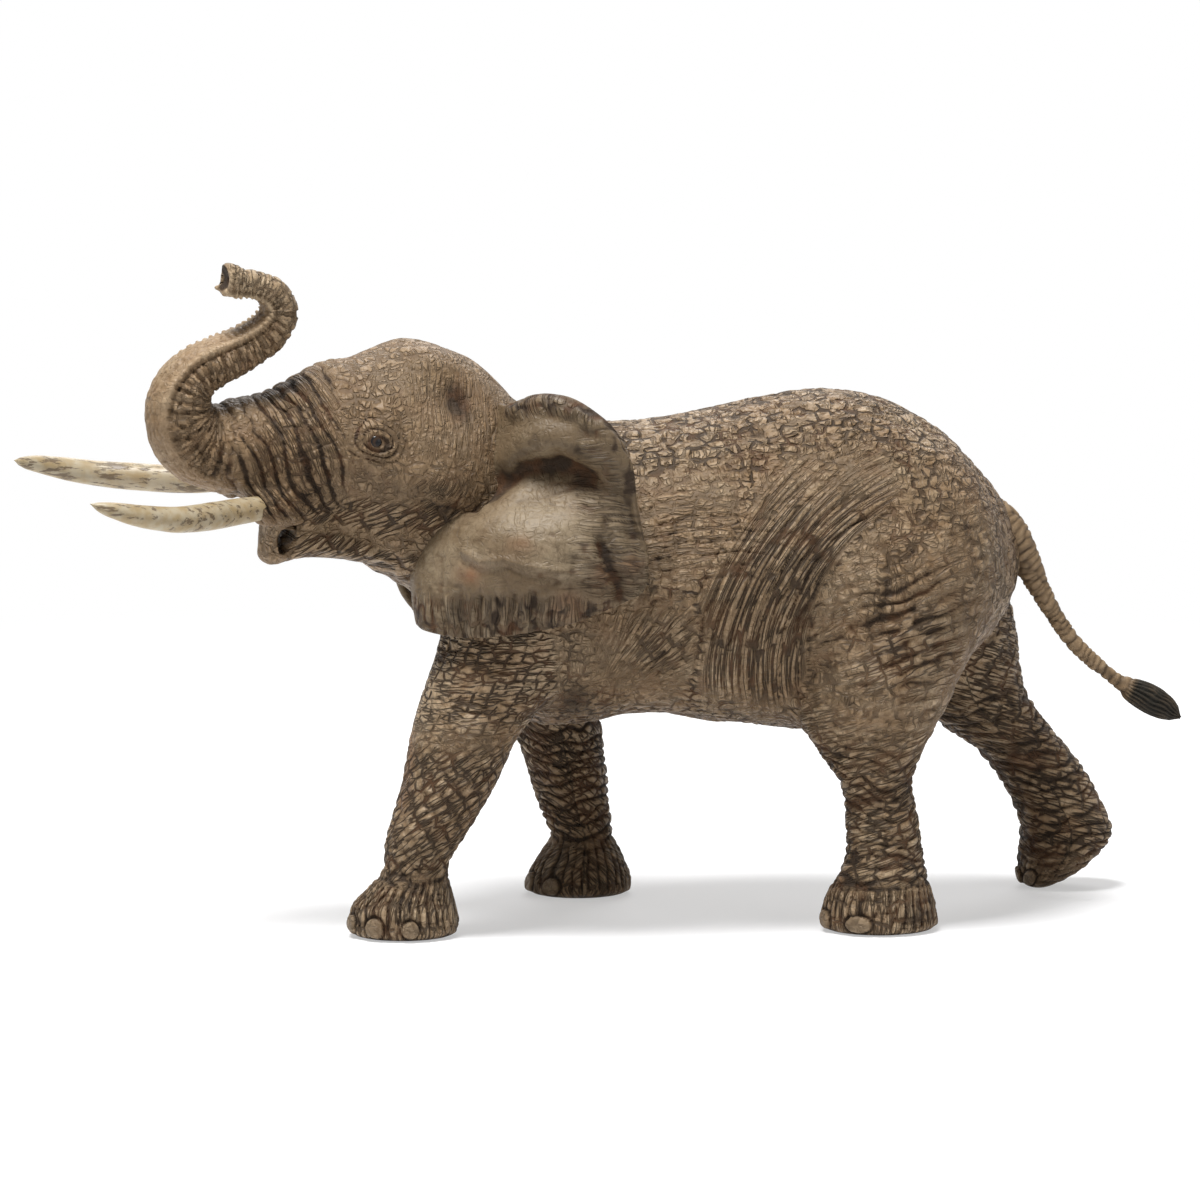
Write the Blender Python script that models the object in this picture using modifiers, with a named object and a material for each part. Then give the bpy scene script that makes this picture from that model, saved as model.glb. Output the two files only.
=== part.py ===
"""Toy bull elephant with a raised trunk, modelled as the moulded pieces that are glued into the figure.

The elephant faces -X and its left flank faces -Y. Lengths are in metres, +Z is up, and it stands on Z = 0.
Tables of stations hold shares, chosen by hand, of the named sizes that they follow.
"""

import math

import bmesh
import bpy
from mathutils import Matrix, Vector

# Torso, a hollow of two half shells
TORSO_LENGTH = 0.110
TORSO_HEIGHT = 0.060
TORSO_WIDTH = 0.062
BELLY_HEIGHT = 0.033
SHELL_WALL = 0.0025
TORSO_SIDES = 28

# Head, lower jaw and their place on the neck
HEAD_LENGTH = 0.0525
HEAD_HEIGHT = 0.041
HEAD_WIDTH = 0.041
HEAD_TURN = math.radians(19)
HEAD_ROLL = math.radians(6.5)
HEAD_SIDES = 28
JAW_SIDES = 20

# Trunk and tusks
TRUNK_RISE = 0.030
TRUNK_BASE_RADIUS = 0.0080
TUSK_LENGTH = 0.042
FAR_TUSK_LIFT = 0.0014
TUSK_RADIUS = 0.0024

# Ears
EAR_SPAN = 0.045
EAR_THICKNESS = 0.0020
FAR_EAR_FOLD = math.radians(25)
FAR_EAR_SWING = math.radians(40)
FAR_EAR_DROP = 0.0075

# Legs: distance between a left and a right foot, and the largest size of a leg along and across the body
TRACK = 0.044
FORELEG_LENGTH = 0.025
FORELEG_WIDTH = 0.019
HINDLEG_LENGTH = 0.031
HINDLEG_WIDTH = 0.024
LEG_SIDES = 20

# How far each foot stands behind its shoulder or hip
LEFT_FORE_STRIDE = -0.0210
RIGHT_FORE_STRIDE = 0.010
LEFT_HIND_STRIDE = -0.006
RIGHT_HIND_STRIDE = 0.0255

# Tail
TAIL_REACH = 0.030
TAIL_RADIUS = 0.0032

# Glued joints: the gap between two pieces, and the round pegs that key them
GLUE_GAP = 0.0003
LEG_PEG_RADIUS = 0.0030
TRUNK_PEG_RADIUS = 0.0035
TRUNK_PEG_LENGTH = 0.0090
TUSK_SOCKET_WALL = 0.00126
EAR_PEG_RADIUS = 0.00065
EAR_PEG_CLEARANCE = 0.0034
JAW_PEG_RADIUS = 0.0022
JAW_PEG_LENGTH = 0.0110
POST_RADIUS = 0.0030
PIN_RADIUS = 0.0014
PIN_LENGTH = 0.0040
CUT_OVERRUN = 0.010

# Share of the torso's length that lies in front of X = 0
TORSO_FRONT_SHARE = 0.342

# x, top, bottom and width of the torso's sections, from the neck to the rump
TORSO_SHARES = (
    (0.000, 0.890, 0.510, 0.36),
    (0.022, 0.915, 0.445, 0.47),
    (0.055, 0.937, 0.377, 0.55),
    (0.087, 0.943, 0.278, 0.61),
    (0.135, 0.937, 0.155, 0.69),
    (0.183, 0.932, 0.067, 0.76),
    (0.246, 0.925, 0.017, 0.84),
    (0.310, 0.910, 0.020, 0.90),
    (0.374, 0.903, 0.045, 0.945),
    (0.437, 0.911, 0.050, 0.98),
    (0.500, 0.932, 0.027, 1.00),
    (0.580, 0.964, 0.013, 0.995),
    (0.660, 0.988, -0.005, 0.96),
    (0.724, 0.991, 0.000, 0.93),
    (0.787, 0.967, 0.037, 0.89),
    (0.851, 0.913, 0.097, 0.82),
    (0.900, 0.850, 0.155, 0.725),
    (0.946, 0.760, 0.228, 0.58),
    (0.978, 0.684, 0.300, 0.42),
    (1.000, 0.600, 0.377, 0.24),
)
TORSO_TAPER_SHARE = 0.12

# Swellings of the flanks, and hollows where the height is below 0: height and radius as shares of the torso's
# width, then the place's x and z shares
TORSO_SWELLING_SHARES = (
    (0.022, 0.110, 0.790, 0.800),
    (-0.020, 0.105, 0.735, 0.640),
    (-0.025, 0.120, 0.680, 0.450),
    (-0.020, 0.120, 0.635, 0.250),
    (0.014, 0.220, 0.500, 0.530),
    (-0.017, 0.130, 0.355, 0.290),
)

# Place of the neck pivot on the torso, which the head's frame starts from
NECK_X_SHARE = 0.151
NECK_Z_SHARE = 0.75

# Reach forward, top, bottom and width of the head's sections, from the nape to the snout
HEAD_SHARES = (
    (-0.114, 0.24, -0.29, 0.55),
    (-0.076, 0.34, -0.34, 0.72),
    (0.000, 0.455, -0.39, 0.88),
    (0.095, 0.53, -0.40, 0.97),
    (0.190, 0.57, -0.39, 1.00),
    (0.286, 0.587, -0.35, 0.975),
    (0.380, 0.557, -0.29, 0.90),
    (0.476, 0.530, -0.22, 0.81),
    (0.570, 0.520, -0.16, 0.71),
    (0.667, 0.465, -0.11, 0.61),
    (0.760, 0.410, -0.06, 0.53),
    (0.838, 0.378, -0.025, 0.465),
    (0.886, 0.362, -0.005, 0.42),
)
HEAD_TAPER_SHARE = 0.10

# The same for both sides of the head: height and radius as shares of its height, then the place's reach,
# outward share of half the width and rise: temple, brow, eye mound, cheekbone, hollow under it, and crown
HEAD_SWELLING_SHARES = (
    (-0.056, 0.115, 0.219, 0.65, 0.417),
    (0.024, 0.100, 0.430, 0.62, 0.415),
    (0.020, 0.090, 0.500, 0.74, 0.255),
    (0.022, 0.140, 0.270, 0.93, 0.100),
    (-0.024, 0.120, 0.560, 0.62, -0.020),
    (0.020, 0.150, 0.250, 0.30, 0.550),
)

# Rings that a swollen form has for each of its stations
RINGS_PER_STATION = 2

# The same for the lower jaw, from the throat to the lip
JAW_SHARES = (
    (0.300, -0.150, -0.370, 0.56),
    (0.438, -0.146, -0.340, 0.52),
    (0.552, -0.134, -0.312, 0.46),
    (0.657, -0.120, -0.305, 0.39),
    (0.705, -0.150, -0.310, 0.33),
    (0.745, -0.205, -0.318, 0.25),
    (0.772, -0.262, -0.325, 0.15),
)
JAW_PEG_REACH_SHARE = 0.50
JAW_PEG_FOOT_SHARE = -0.30

# Reach, rise and radius along the trunk, from the snout to the tip
TRUNK_SHARES = (
    (-0.060, 0.000, 0.925),
    (0.117, -0.015, 0.920),
    (0.230, 0.015, 0.860),
    (0.325, 0.100, 0.800),
    (0.367, 0.218, 0.735),
    (0.338, 0.350, 0.650),
    (0.240, 0.450, 0.590),
    (0.095, 0.520, 0.540),
    (-0.055, 0.585, 0.505),
    (-0.185, 0.670, 0.475),
    (-0.250, 0.785, 0.430),
    (-0.195, 0.895, 0.375),
    (-0.090, 0.945, 0.335),
    (0.025, 0.965, 0.350),
    (0.125, 0.988, 0.420),
)

# Reach, outward shift, rise and radius along a tusk, from its root in the head to the tip
TUSK_SHARES = (
    (0.000, 0.170, -0.030, 0.74),
    (0.107, 0.202, -0.040, 0.85),
    (0.280, 0.262, -0.043, 0.98),
    (0.457, 0.357, -0.035, 1.00),
    (0.630, 0.430, -0.017, 0.91),
    (0.774, 0.460, 0.012, 0.79),
    (0.867, 0.464, 0.036, 0.63),
    (0.925, 0.455, 0.050, 0.45),
    (0.975, 0.440, 0.066, 0.15),
)
TUSK_LIFT_END_SHARE = 0.667

# Reach and rise of the same root on the head
TUSK_ROOT_REACH_SHARE = 0.743
TUSK_ROOT_RISE_SHARE = -0.03073

# Back, up and outward shares of the ear's span.
# Rows run from the top edge down, and each runs from the root to the rear edge.
EAR_SHARES = (
    ((-0.06, 0.34, 0.26), (0.00, 0.45, 0.48), (0.08, 0.47, 0.62),
     (0.18, 0.41, 0.74), (0.29, 0.30, 0.82)),
    ((-0.10, 0.19, 0.34), (-0.06, 0.27, 0.62), (0.04, 0.28, 0.74),
     (0.15, 0.23, 0.83), (0.30, 0.14, 0.86)),
    ((-0.17, 0.04, 0.34), (-0.09, 0.08, 0.56), (0.04, 0.11, 0.65),
     (0.16, 0.07, 0.81), (0.32, -0.03, 0.89)),
    ((-0.31, -0.10, 0.38), (-0.25, -0.07, 0.67), (-0.10, -0.06, 0.81),
     (0.09, -0.10, 0.90), (0.35, -0.21, 0.92)),
    ((-0.39, -0.28, 0.43), (-0.29, -0.26, 0.67), (-0.13, -0.25, 0.83),
     (0.08, -0.25, 0.92), (0.35, -0.31, 0.91)),
    ((-0.40, -0.54, 0.48), (-0.30, -0.55, 0.63), (-0.12, -0.51, 0.76),
     (0.06, -0.46, 0.84), (0.21, -0.37, 0.88)),
)
EAR_HINGE_SHARES = (-0.17, 0.04, 0.41)
EAR_PEG_TOP_SHARES = (-0.06, 0.245, 0.50)

# Reach, outward share of half the width, and rise on the head: the hinge of both ears, and each peg's inner
# end, which then moves across to its clearance from the neck
EAR_HINGE_ON_HEAD_SHARES = (0.14571, 0.90, 0.0439)
LEFT_EAR_PEG_END_SHARES = (0.094, 0.637, 0.203)
RIGHT_EAR_PEG_END_SHARES = (0.290, 0.680, 0.080)

# Height, shift along the stride, length, spread and width of a leg's sections, from the sole to the top.
# A height up to 1 is a share of the belly's height, and what is over 1 is a share of the torso's height.
LEFT_FORE_SHARES = (
    (0.000, 1.000, 0.745, 1.00, 0.93),
    (0.076, 1.000, 0.785, 1.00, 0.98),
    (0.158, 0.995, 0.735, 1.00, 0.94),
    (0.248, 0.950, 0.600, 1.00, 0.80),
    (0.348, 0.900, 0.465, 1.00, 0.66),
    (0.410, 0.885, 0.480, 1.00, 0.67),
    (0.506, 0.830, 0.550, 1.00, 0.73),
    (0.612, 0.755, 0.595, 1.00, 0.77),
    (0.720, 0.675, 0.640, 1.00, 0.80),
    (0.827, 0.605, 0.680, 0.99, 0.83),
    (0.940, 0.555, 0.720, 0.97, 0.86),
    (1.053, 0.455, 0.795, 0.955, 0.92),
    (1.167, 0.270, 0.930, 0.91, 0.98),
    (1.317, 0.093, 0.985, 0.865, 1.01),
    (1.483, 0.000, 1.000, 0.82, 1.01),
    (1.650, -0.140, 0.840, 0.69, 0.78),
    (1.767, -0.230, 0.560, 0.52, 0.50),
)
RIGHT_FORE_SHARES = (
    (0.000, 1.000, 0.745, 1.07, 0.93),
    (0.076, 1.000, 0.755, 1.07, 0.97),
    (0.130, 1.020, 0.710, 1.07, 0.93),
    (0.236, 1.050, 0.570, 1.07, 0.79),
    (0.300, 1.080, 0.460, 1.07, 0.65),
    (0.397, 1.000, 0.490, 1.07, 0.65),
    (0.506, 0.900, 0.525, 1.06, 0.68),
    (0.612, 0.830, 0.560, 1.05, 0.72),
    (0.720, 0.760, 0.585, 1.04, 0.76),
    (0.827, 0.680, 0.615, 1.02, 0.80),
    (0.960, 0.580, 0.650, 0.99, 0.85),
    (1.083, 0.400, 0.760, 0.95, 0.92),
    (1.217, 0.200, 0.880, 0.90, 0.98),
    (1.383, 0.000, 0.960, 0.84, 1.01),
    (1.550, 0.000, 0.920, 0.80, 0.98),
    (1.700, 0.100, 0.720, 0.64, 0.68),
    (1.783, 0.200, 0.520, 0.48, 0.50),
)
LEFT_HIND_SHARES = (
    (0.000, 0.980, 0.660, 0.98, 0.80),
    (0.048, 0.980, 0.672, 0.98, 0.825),
    (0.130, 0.980, 0.650, 0.98, 0.80),
    (0.212, 0.940, 0.590, 0.98, 0.75),
    (0.291, 0.880, 0.520, 0.975, 0.68),
    (0.373, 0.820, 0.460, 0.97, 0.61),
    (0.479, 0.830, 0.435, 0.96, 0.585),
    (0.585, 0.880, 0.419, 0.955, 0.585),
    (0.694, 0.980, 0.405, 0.95, 0.59),
    (0.773, 1.050, 0.415, 0.945, 0.61),
    (0.882, 1.180, 0.520, 0.93, 0.67),
    (0.988, 1.250, 0.650, 0.91, 0.75),
    (1.038, 1.230, 0.755, 0.89, 0.81),
    (1.133, 1.080, 0.890, 0.86, 0.90),
    (1.275, 0.680, 0.968, 0.79, 0.98),
    (1.417, 0.280, 1.000, 0.73, 1.02),
    (1.550, 0.020, 0.935, 0.68, 0.98),
    (1.683, -0.080, 0.774, 0.56, 0.80),
    (1.800, 0.000, 0.516, 0.40, 0.45),
)
RIGHT_HIND_SHARES = (
    (0.000, 1.060, 0.168, 1.13, 0.38),
    (0.039, 1.100, 0.271, 1.13, 0.50),
    (0.094, 1.150, 0.375, 1.13, 0.60),
    (0.148, 1.195, 0.450, 1.13, 0.66),
    (0.200, 1.235, 0.510, 1.13, 0.69),
    (0.255, 1.265, 0.540, 1.13, 0.70),
    (0.318, 1.275, 0.545, 1.13, 0.69),
    (0.388, 1.250, 0.530, 1.13, 0.65),
    (0.470, 1.200, 0.525, 1.13, 0.625),
    (0.576, 1.130, 0.535, 1.13, 0.625),
    (0.685, 1.035, 0.540, 1.10, 0.63),
    (0.791, 0.910, 0.565, 1.07, 0.67),
    (0.873, 0.790, 0.610, 1.03, 0.71),
    (0.955, 0.690, 0.650, 1.00, 0.75),
    (1.033, 0.575, 0.685, 0.96, 0.81),
    (1.125, 0.495, 0.715, 0.92, 0.87),
    (1.217, 0.410, 0.806, 0.86, 0.93),
    (1.307, 0.330, 0.871, 0.82, 0.98),
    (1.417, 0.216, 0.935, 0.75, 1.02),
    (1.550, 0.118, 0.903, 0.68, 0.98),
    (1.683, 0.060, 0.774, 0.56, 0.80),
    (1.800, 0.000, 0.516, 0.40, 0.45),
)

# Share of the torso's width between the tops of a left and a right leg, which their spreads start from
LEG_TOP_WIDTH_SHARE = 0.70968

# Place of each shoulder and hip along the torso
LEFT_SHOULDER_X_SHARE = 0.2055
RIGHT_SHOULDER_X_SHARE = 0.233
HIP_X_SHARE = 0.824

# Upright peg of each leg: shift along the stride, share of the track, and its foot and top as shares of the
# torso's height
LEFT_FORE_PEG_SHARES = (0.233, 0.73, 0.08, 0.32)
RIGHT_FORE_PEG_SHARES = (0.200, 0.80, 0.03, 0.22)
LEFT_HIND_PEG_SHARES = (0.917, 0.72, 0.01, 0.22)
RIGHT_HIND_PEG_SHARES = (0.353, 0.68, 0.10, 0.32)

# Reach, rise and radius along the tail, from inside the rump to the end of the tuft
TAIL_SHARES = (
    (-0.300, 0.360, 0.70),
    (-0.130, 0.300, 0.90),
    (-0.015, 0.190, 0.97),
    (0.085, 0.010, 0.85),
    (0.170, -0.165, 0.62),
    (0.268, -0.335, 0.51),
    (0.378, -0.492, 0.46),
    (0.508, -0.618, 0.43),
    (0.636, -0.720, 0.41),
    (0.722, -0.775, 0.68),
    (0.815, -0.825, 0.82),
    (0.918, -0.885, 0.70),
    (1.010, -0.945, 0.27),
)
TAIL_ROOT_Z_SHARE = 0.483

# x and z shares of the torso where posts inside the two half shells meet
POST_SHARES = ((0.40, 0.75), (0.40, 0.25), (0.78, 0.55))


def start_scene():
    """Empty the scene and return the collections for the pieces and for the cutters."""
    for old in list(bpy.data.objects):
        bpy.data.objects.remove(old)
    pieces = bpy.data.collections.new("toy_elephant")
    cutters = bpy.data.collections.new("cutters")
    for group in (pieces, cutters):
        bpy.context.scene.collection.children.link(group)
    return pieces, cutters


PIECES, CUTTERS = start_scene()


def finish_of(name, colour, roughness):
    """A Principled material of one colour."""
    material = bpy.data.materials.new(name)
    material.use_nodes = True
    shader = material.node_tree.nodes["Principled BSDF"]
    shader.inputs["Base Color"].default_value = (*colour, 1)
    shader.inputs["Roughness"].default_value = roughness
    shader.inputs["Metallic"].default_value = 0
    return material


SKIN = finish_of("elephant_skin", (0.26, 0.20, 0.15), 0.62)
EAR_SKIN = finish_of("ear_skin", (0.36, 0.29, 0.22), 0.58)
TAIL_SKIN = finish_of("tail_skin", (0.21, 0.17, 0.13), 0.65)
IVORY = finish_of("ivory", (0.72, 0.64, 0.46), 0.42)


def add_object(name, mesh, material, is_cutter=False):
    """Link a mesh as a piece of the figure or as a hidden cutter."""
    obj = bpy.data.objects.new(name, mesh)
    (CUTTERS if is_cutter else PIECES).objects.link(obj)
    if is_cutter:
        obj.hide_render = True
        obj.display_type = "WIRE"
    else:
        mesh.materials.append(material)
        mesh.shade_smooth()
    return obj


def face_outward(shape):
    """Turn all faces of one closed form outward."""
    bmesh.ops.recalc_face_normals(shape, faces=shape.faces)
    if shape.calc_volume(signed=True) < 0:
        bmesh.ops.reverse_faces(shape, faces=shape.faces)


def loft(name, rings, material, is_cutter=False):
    """Skin a row of closed rings that all have the same number of points, and cap both ends."""
    shape = bmesh.new()
    rows = [[shape.verts.new(point) for point in ring] for ring in rings]
    sides = len(rows[0])
    for lower, upper in zip(rows, rows[1:]):
        for i in range(sides):
            j = (i + 1) % sides
            shape.faces.new((lower[i], lower[j], upper[j], upper[i]))
    shape.faces.new(rows[0])
    shape.faces.new(rows[-1])
    face_outward(shape)
    mesh = bpy.data.meshes.new(name)
    shape.to_mesh(mesh)
    shape.free()
    return add_object(name, mesh, material, is_cutter)


def circle_angles(sides):
    return [math.tau * i / sides for i in range(sides)]


def carve(target, tool, operation="DIFFERENCE"):
    """Cut, join or keep the common part of two objects with a Boolean modifier."""
    step = target.modifiers.new(f"{operation.lower()}_{tool.name}", "BOOLEAN")
    step.operation = operation
    step.solver = "EXACT"
    step.object = tool


def cylinder(name, radius, start, end, material=None, is_cutter=True, sides=20):
    """A round peg or bore between two points."""
    along = end - start
    mesh = bpy.data.meshes.new(name)
    shape = bmesh.new()
    bmesh.ops.create_cone(
        shape, cap_ends=True, segments=sides, radius1=radius, radius2=radius, depth=along.length
    )
    turn = along.to_track_quat("Z", "Y").to_matrix().to_4x4()
    shape.transform(Matrix.Translation((start + end) / 2) @ turn)
    shape.to_mesh(mesh)
    shape.free()
    return add_object(name, mesh, material, is_cutter)


def tapered_tube(name, points, radii, material, is_cutter=False, resolution=3, steps=3):
    """A round bar of changing thickness along a smooth curve, made a mesh with welded caps."""
    curve = bpy.data.curves.new(name, "CURVE")
    curve.dimensions = "3D"
    curve.bevel_depth = 1
    curve.bevel_resolution = resolution
    curve.resolution_u = steps
    curve.use_fill_caps = True
    spline = curve.splines.new("BEZIER")
    spline.bezier_points.add(len(points) - 1)
    for knot, point, radius in zip(spline.bezier_points, points, radii):
        knot.co = point
        knot.radius = radius
        knot.handle_left_type = "AUTO"
        knot.handle_right_type = "AUTO"
    holder = bpy.data.objects.new(name + "_line", curve)
    bpy.context.scene.collection.objects.link(holder)
    bpy.context.view_layer.update()
    mesh = bpy.data.meshes.new_from_object(holder.evaluated_get(bpy.context.evaluated_depsgraph_get()))
    bpy.data.objects.remove(holder)
    shape = bmesh.new()
    shape.from_mesh(mesh)
    bmesh.ops.remove_doubles(shape, verts=shape.verts, dist=GLUE_GAP / 10)
    face_outward(shape)
    shape.to_mesh(mesh)
    shape.free()
    return add_object(name, mesh, material, is_cutter)


def torso_x(share):
    return (share - TORSO_FRONT_SHARE) * TORSO_LENGTH


def torso_z(share):
    return BELLY_HEIGHT + share * TORSO_HEIGHT


def filled_in(table):
    """The rows of a table, with even steps from each row to the next."""
    rows = []
    for one, other in zip(table, table[1:]):
        for i in range(RINGS_PER_STATION):
            part = i / RINGS_PER_STATION
            rows.append(tuple(a + (b - a) * part for a, b in zip(one, other)))
    return [*rows, table[-1]]


def swollen(ring, middle, spots):
    """Push the points of a ring away from its middle by the swellings near them, on both sides alike.

    A point is along, across and up. A spot is a height, a radius and its middle, with across counted outward.
    """
    result = []
    for point in ring:
        folded = Vector((point.x, abs(point.y), point.z))
        push = sum(
            height * math.exp(-((folded - Vector(place)).length / radius) ** 2)
            for height, radius, place in spots
        )
        result.append(point + (point - middle).normalized() * push)
    return result


def egg_section(half_width, top, bottom, taper_share, angles):
    """Across and up for each angle of a section that is narrower towards its top."""
    middle, half_height = (top + bottom) / 2, (top - bottom) / 2
    return [
        (half_width * math.cos(a) * (1 - taper_share * math.sin(a)), middle + half_height * math.sin(a))
        for a in angles
    ]


def flank_at(x, z):
    """Half the torso's width at a place, worked out between its sections, or 0 over and under it."""
    share = min(max(x / TORSO_LENGTH + TORSO_FRONT_SHARE, TORSO_SHARES[0][0]), TORSO_SHARES[-1][0])
    for front, back in zip(TORSO_SHARES, TORSO_SHARES[1:]):
        if share <= back[0]:
            break
    part = (share - front[0]) / (back[0] - front[0])
    top, bottom, width = (a + (b - a) * part for a, b in zip(front[1:], back[1:]))
    sine = (z - torso_z((top + bottom) / 2)) / ((top - bottom) / 2 * TORSO_HEIGHT)
    sine = min(max(sine, -1), 1)
    return width * TORSO_WIDTH / 2 * math.sqrt(1 - sine * sine) * (1 - TORSO_TAPER_SHARE * sine)


def torso_spots():
    """The flanks' swellings at full size, each on the surface at its place."""
    spots = []
    for height, radius, x, z in TORSO_SWELLING_SHARES:
        place = (torso_x(x), flank_at(torso_x(x), torso_z(z)), torso_z(z))
        spots.append((height * TORSO_WIDTH, radius * TORSO_WIDTH, place))
    return spots


def torso_ring(x, section):
    """One section of the torso with its swellings."""
    middle = Vector((torso_x(x), 0, sum(z for _, z in section) / len(section)))
    return swollen([Vector((torso_x(x), y, z)) for y, z in section], middle, torso_spots())


def torso_loft(name, grow, is_cutter=True):
    """The torso's closed outer form, grown or, with a negative value, shrunk by that much all over."""
    rings = []
    table = filled_in(TORSO_SHARES)
    last = len(table) - 1
    for i, (x, top, bottom, width) in enumerate(table):
        end_shift = -grow if i == 0 else grow if i == last else 0
        section = egg_section(
            width * TORSO_WIDTH / 2 + grow,
            torso_z(top) + grow,
            torso_z(bottom) - grow,
            TORSO_TAPER_SHARE,
            circle_angles(TORSO_SIDES),
        )
        rings.append([point + Vector((end_shift, 0, 0)) for point in torso_ring(x, section)])
    return loft(name, rings, SKIN, is_cutter)


def torso_hollow(name):
    """The space inside the two half shells, which stops short of the neck and the rump."""
    rings = []
    for x, top, bottom, width in filled_in(TORSO_SHARES[3:-2]):
        section = egg_section(
            width * TORSO_WIDTH / 2 - SHELL_WALL,
            torso_z(top) - SHELL_WALL,
            torso_z(bottom) + SHELL_WALL,
            TORSO_TAPER_SHARE,
            circle_angles(TORSO_SIDES),
        )
        rings.append(torso_ring(x, section))
    return loft(name, rings, SKIN, True)


HEAD_FRAME = (
    Matrix.Translation((torso_x(NECK_X_SHARE), 0, torso_z(NECK_Z_SHARE)))
    @ Matrix.Rotation(HEAD_TURN, 4, "Z")
    @ Matrix.Rotation(HEAD_ROLL, 4, "X")
)


# What a place's reach, outward share and rise on the head are shares of
HEAD_SIZES = (HEAD_LENGTH, HEAD_WIDTH / 2, HEAD_HEIGHT)


def in_head(reach, across, rise):
    """A point given in the head's frame: forward, to the animal's right, and up from the neck pivot."""
    return HEAD_FRAME @ Vector((-reach, across, rise))


def head_spots():
    """The head's swellings at full size, in the head's frame."""
    spots = []
    for height, radius, reach, out, rise in HEAD_SWELLING_SHARES:
        place = (-reach * HEAD_LENGTH, out * HEAD_WIDTH / 2, rise * HEAD_HEIGHT)
        spots.append((height * HEAD_HEIGHT, radius * HEAD_HEIGHT, place))
    return spots


def head_loft(name, table, sides, grow, is_cutter, spots=()):
    """A form lofted along the head's own axis, grown all over by that much, with swellings at the spots."""
    rings = []
    if spots:
        table = filled_in(table)
    last = len(table) - 1
    for i, (reach, top, bottom, width) in enumerate(table):
        end_shift = -grow if i == 0 else grow if i == last else 0
        section = egg_section(
            width * HEAD_WIDTH / 2 + grow,
            top * HEAD_HEIGHT + grow,
            bottom * HEAD_HEIGHT - grow,
            HEAD_TAPER_SHARE,
            circle_angles(sides),
        )
        along = -reach * HEAD_LENGTH - end_shift
        middle = Vector((along, 0, (top + bottom) / 2 * HEAD_HEIGHT))
        ring = swollen([Vector((along, across, up)) for across, up in section], middle, spots)
        rings.append([HEAD_FRAME @ point for point in ring])
    return loft(name, rings, SKIN, is_cutter)


def leg_height(share):
    """Up to 1 a share of the way to the belly, and over 1 a share of the torso's height above it."""
    if share <= 1:
        return share * BELLY_HEIGHT
    return torso_z(share - 1)


def leg_track(share):
    """Distance between left and right at a leg's height: the track at the sole, the torso's over the belly."""
    return TRACK + (LEG_TOP_WIDTH_SHARE * TORSO_WIDTH - TRACK) * min(share, 1)


def leg_loft(name, leg, grow, is_cutter):
    """A leg from its flat sole up to the flank, grown all over by that much."""
    rings = []
    for height, shift, length, spread, width in leg["stations"]:
        half_length = length * leg["length"] / 2 + grow
        half_width = width * leg["width"] / 2 + grow
        middle_x = leg["top_x"] + shift * leg["stride"]
        middle_y = leg["side"] * spread * leg_track(height) / 2
        rings.append([
            Vector((
                middle_x + half_length * math.cos(a),
                middle_y + half_width * math.sin(a),
                leg_height(height),
            ))
            for a in circle_angles(LEG_SIDES)
        ])
    return loft(name, rings, SKIN, is_cutter)


LEFT, RIGHT = -1, 1
LEGS = {
    "front_left_leg": {
        "stations": LEFT_FORE_SHARES,
        "peg": LEFT_FORE_PEG_SHARES,
        "side": LEFT,
        "top_x": torso_x(LEFT_SHOULDER_X_SHARE),
        "stride": LEFT_FORE_STRIDE,
        "length": FORELEG_LENGTH,
        "width": FORELEG_WIDTH,
    },
    "front_right_leg": {
        "stations": RIGHT_FORE_SHARES,
        "peg": RIGHT_FORE_PEG_SHARES,
        "side": RIGHT,
        "top_x": torso_x(RIGHT_SHOULDER_X_SHARE),
        "stride": RIGHT_FORE_STRIDE,
        "length": FORELEG_LENGTH,
        "width": FORELEG_WIDTH,
    },
    "hind_left_leg": {
        "stations": LEFT_HIND_SHARES,
        "peg": LEFT_HIND_PEG_SHARES,
        "side": LEFT,
        "top_x": torso_x(HIP_X_SHARE),
        "stride": LEFT_HIND_STRIDE,
        "length": HINDLEG_LENGTH,
        "width": HINDLEG_WIDTH,
    },
    "hind_right_leg": {
        "stations": RIGHT_HIND_SHARES,
        "peg": RIGHT_HIND_PEG_SHARES,
        "side": RIGHT,
        "top_x": torso_x(HIP_X_SHARE),
        "stride": RIGHT_HIND_STRIDE,
        "length": HINDLEG_LENGTH,
        "width": HINDLEG_WIDTH,
    },
}


def leg_peg(name, leg, radius, extra):
    """The upright peg that keys a leg through the bottom of its half shell."""
    shift, spread, foot, top = leg["peg"]
    x = leg["top_x"] + shift * leg["stride"]
    y = leg["side"] * spread * leg_track(1) / 2
    low, high = torso_z(foot) - extra, torso_z(top) + extra
    return cylinder(name, radius, Vector((x, y, low)), Vector((x, y, high)))


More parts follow.
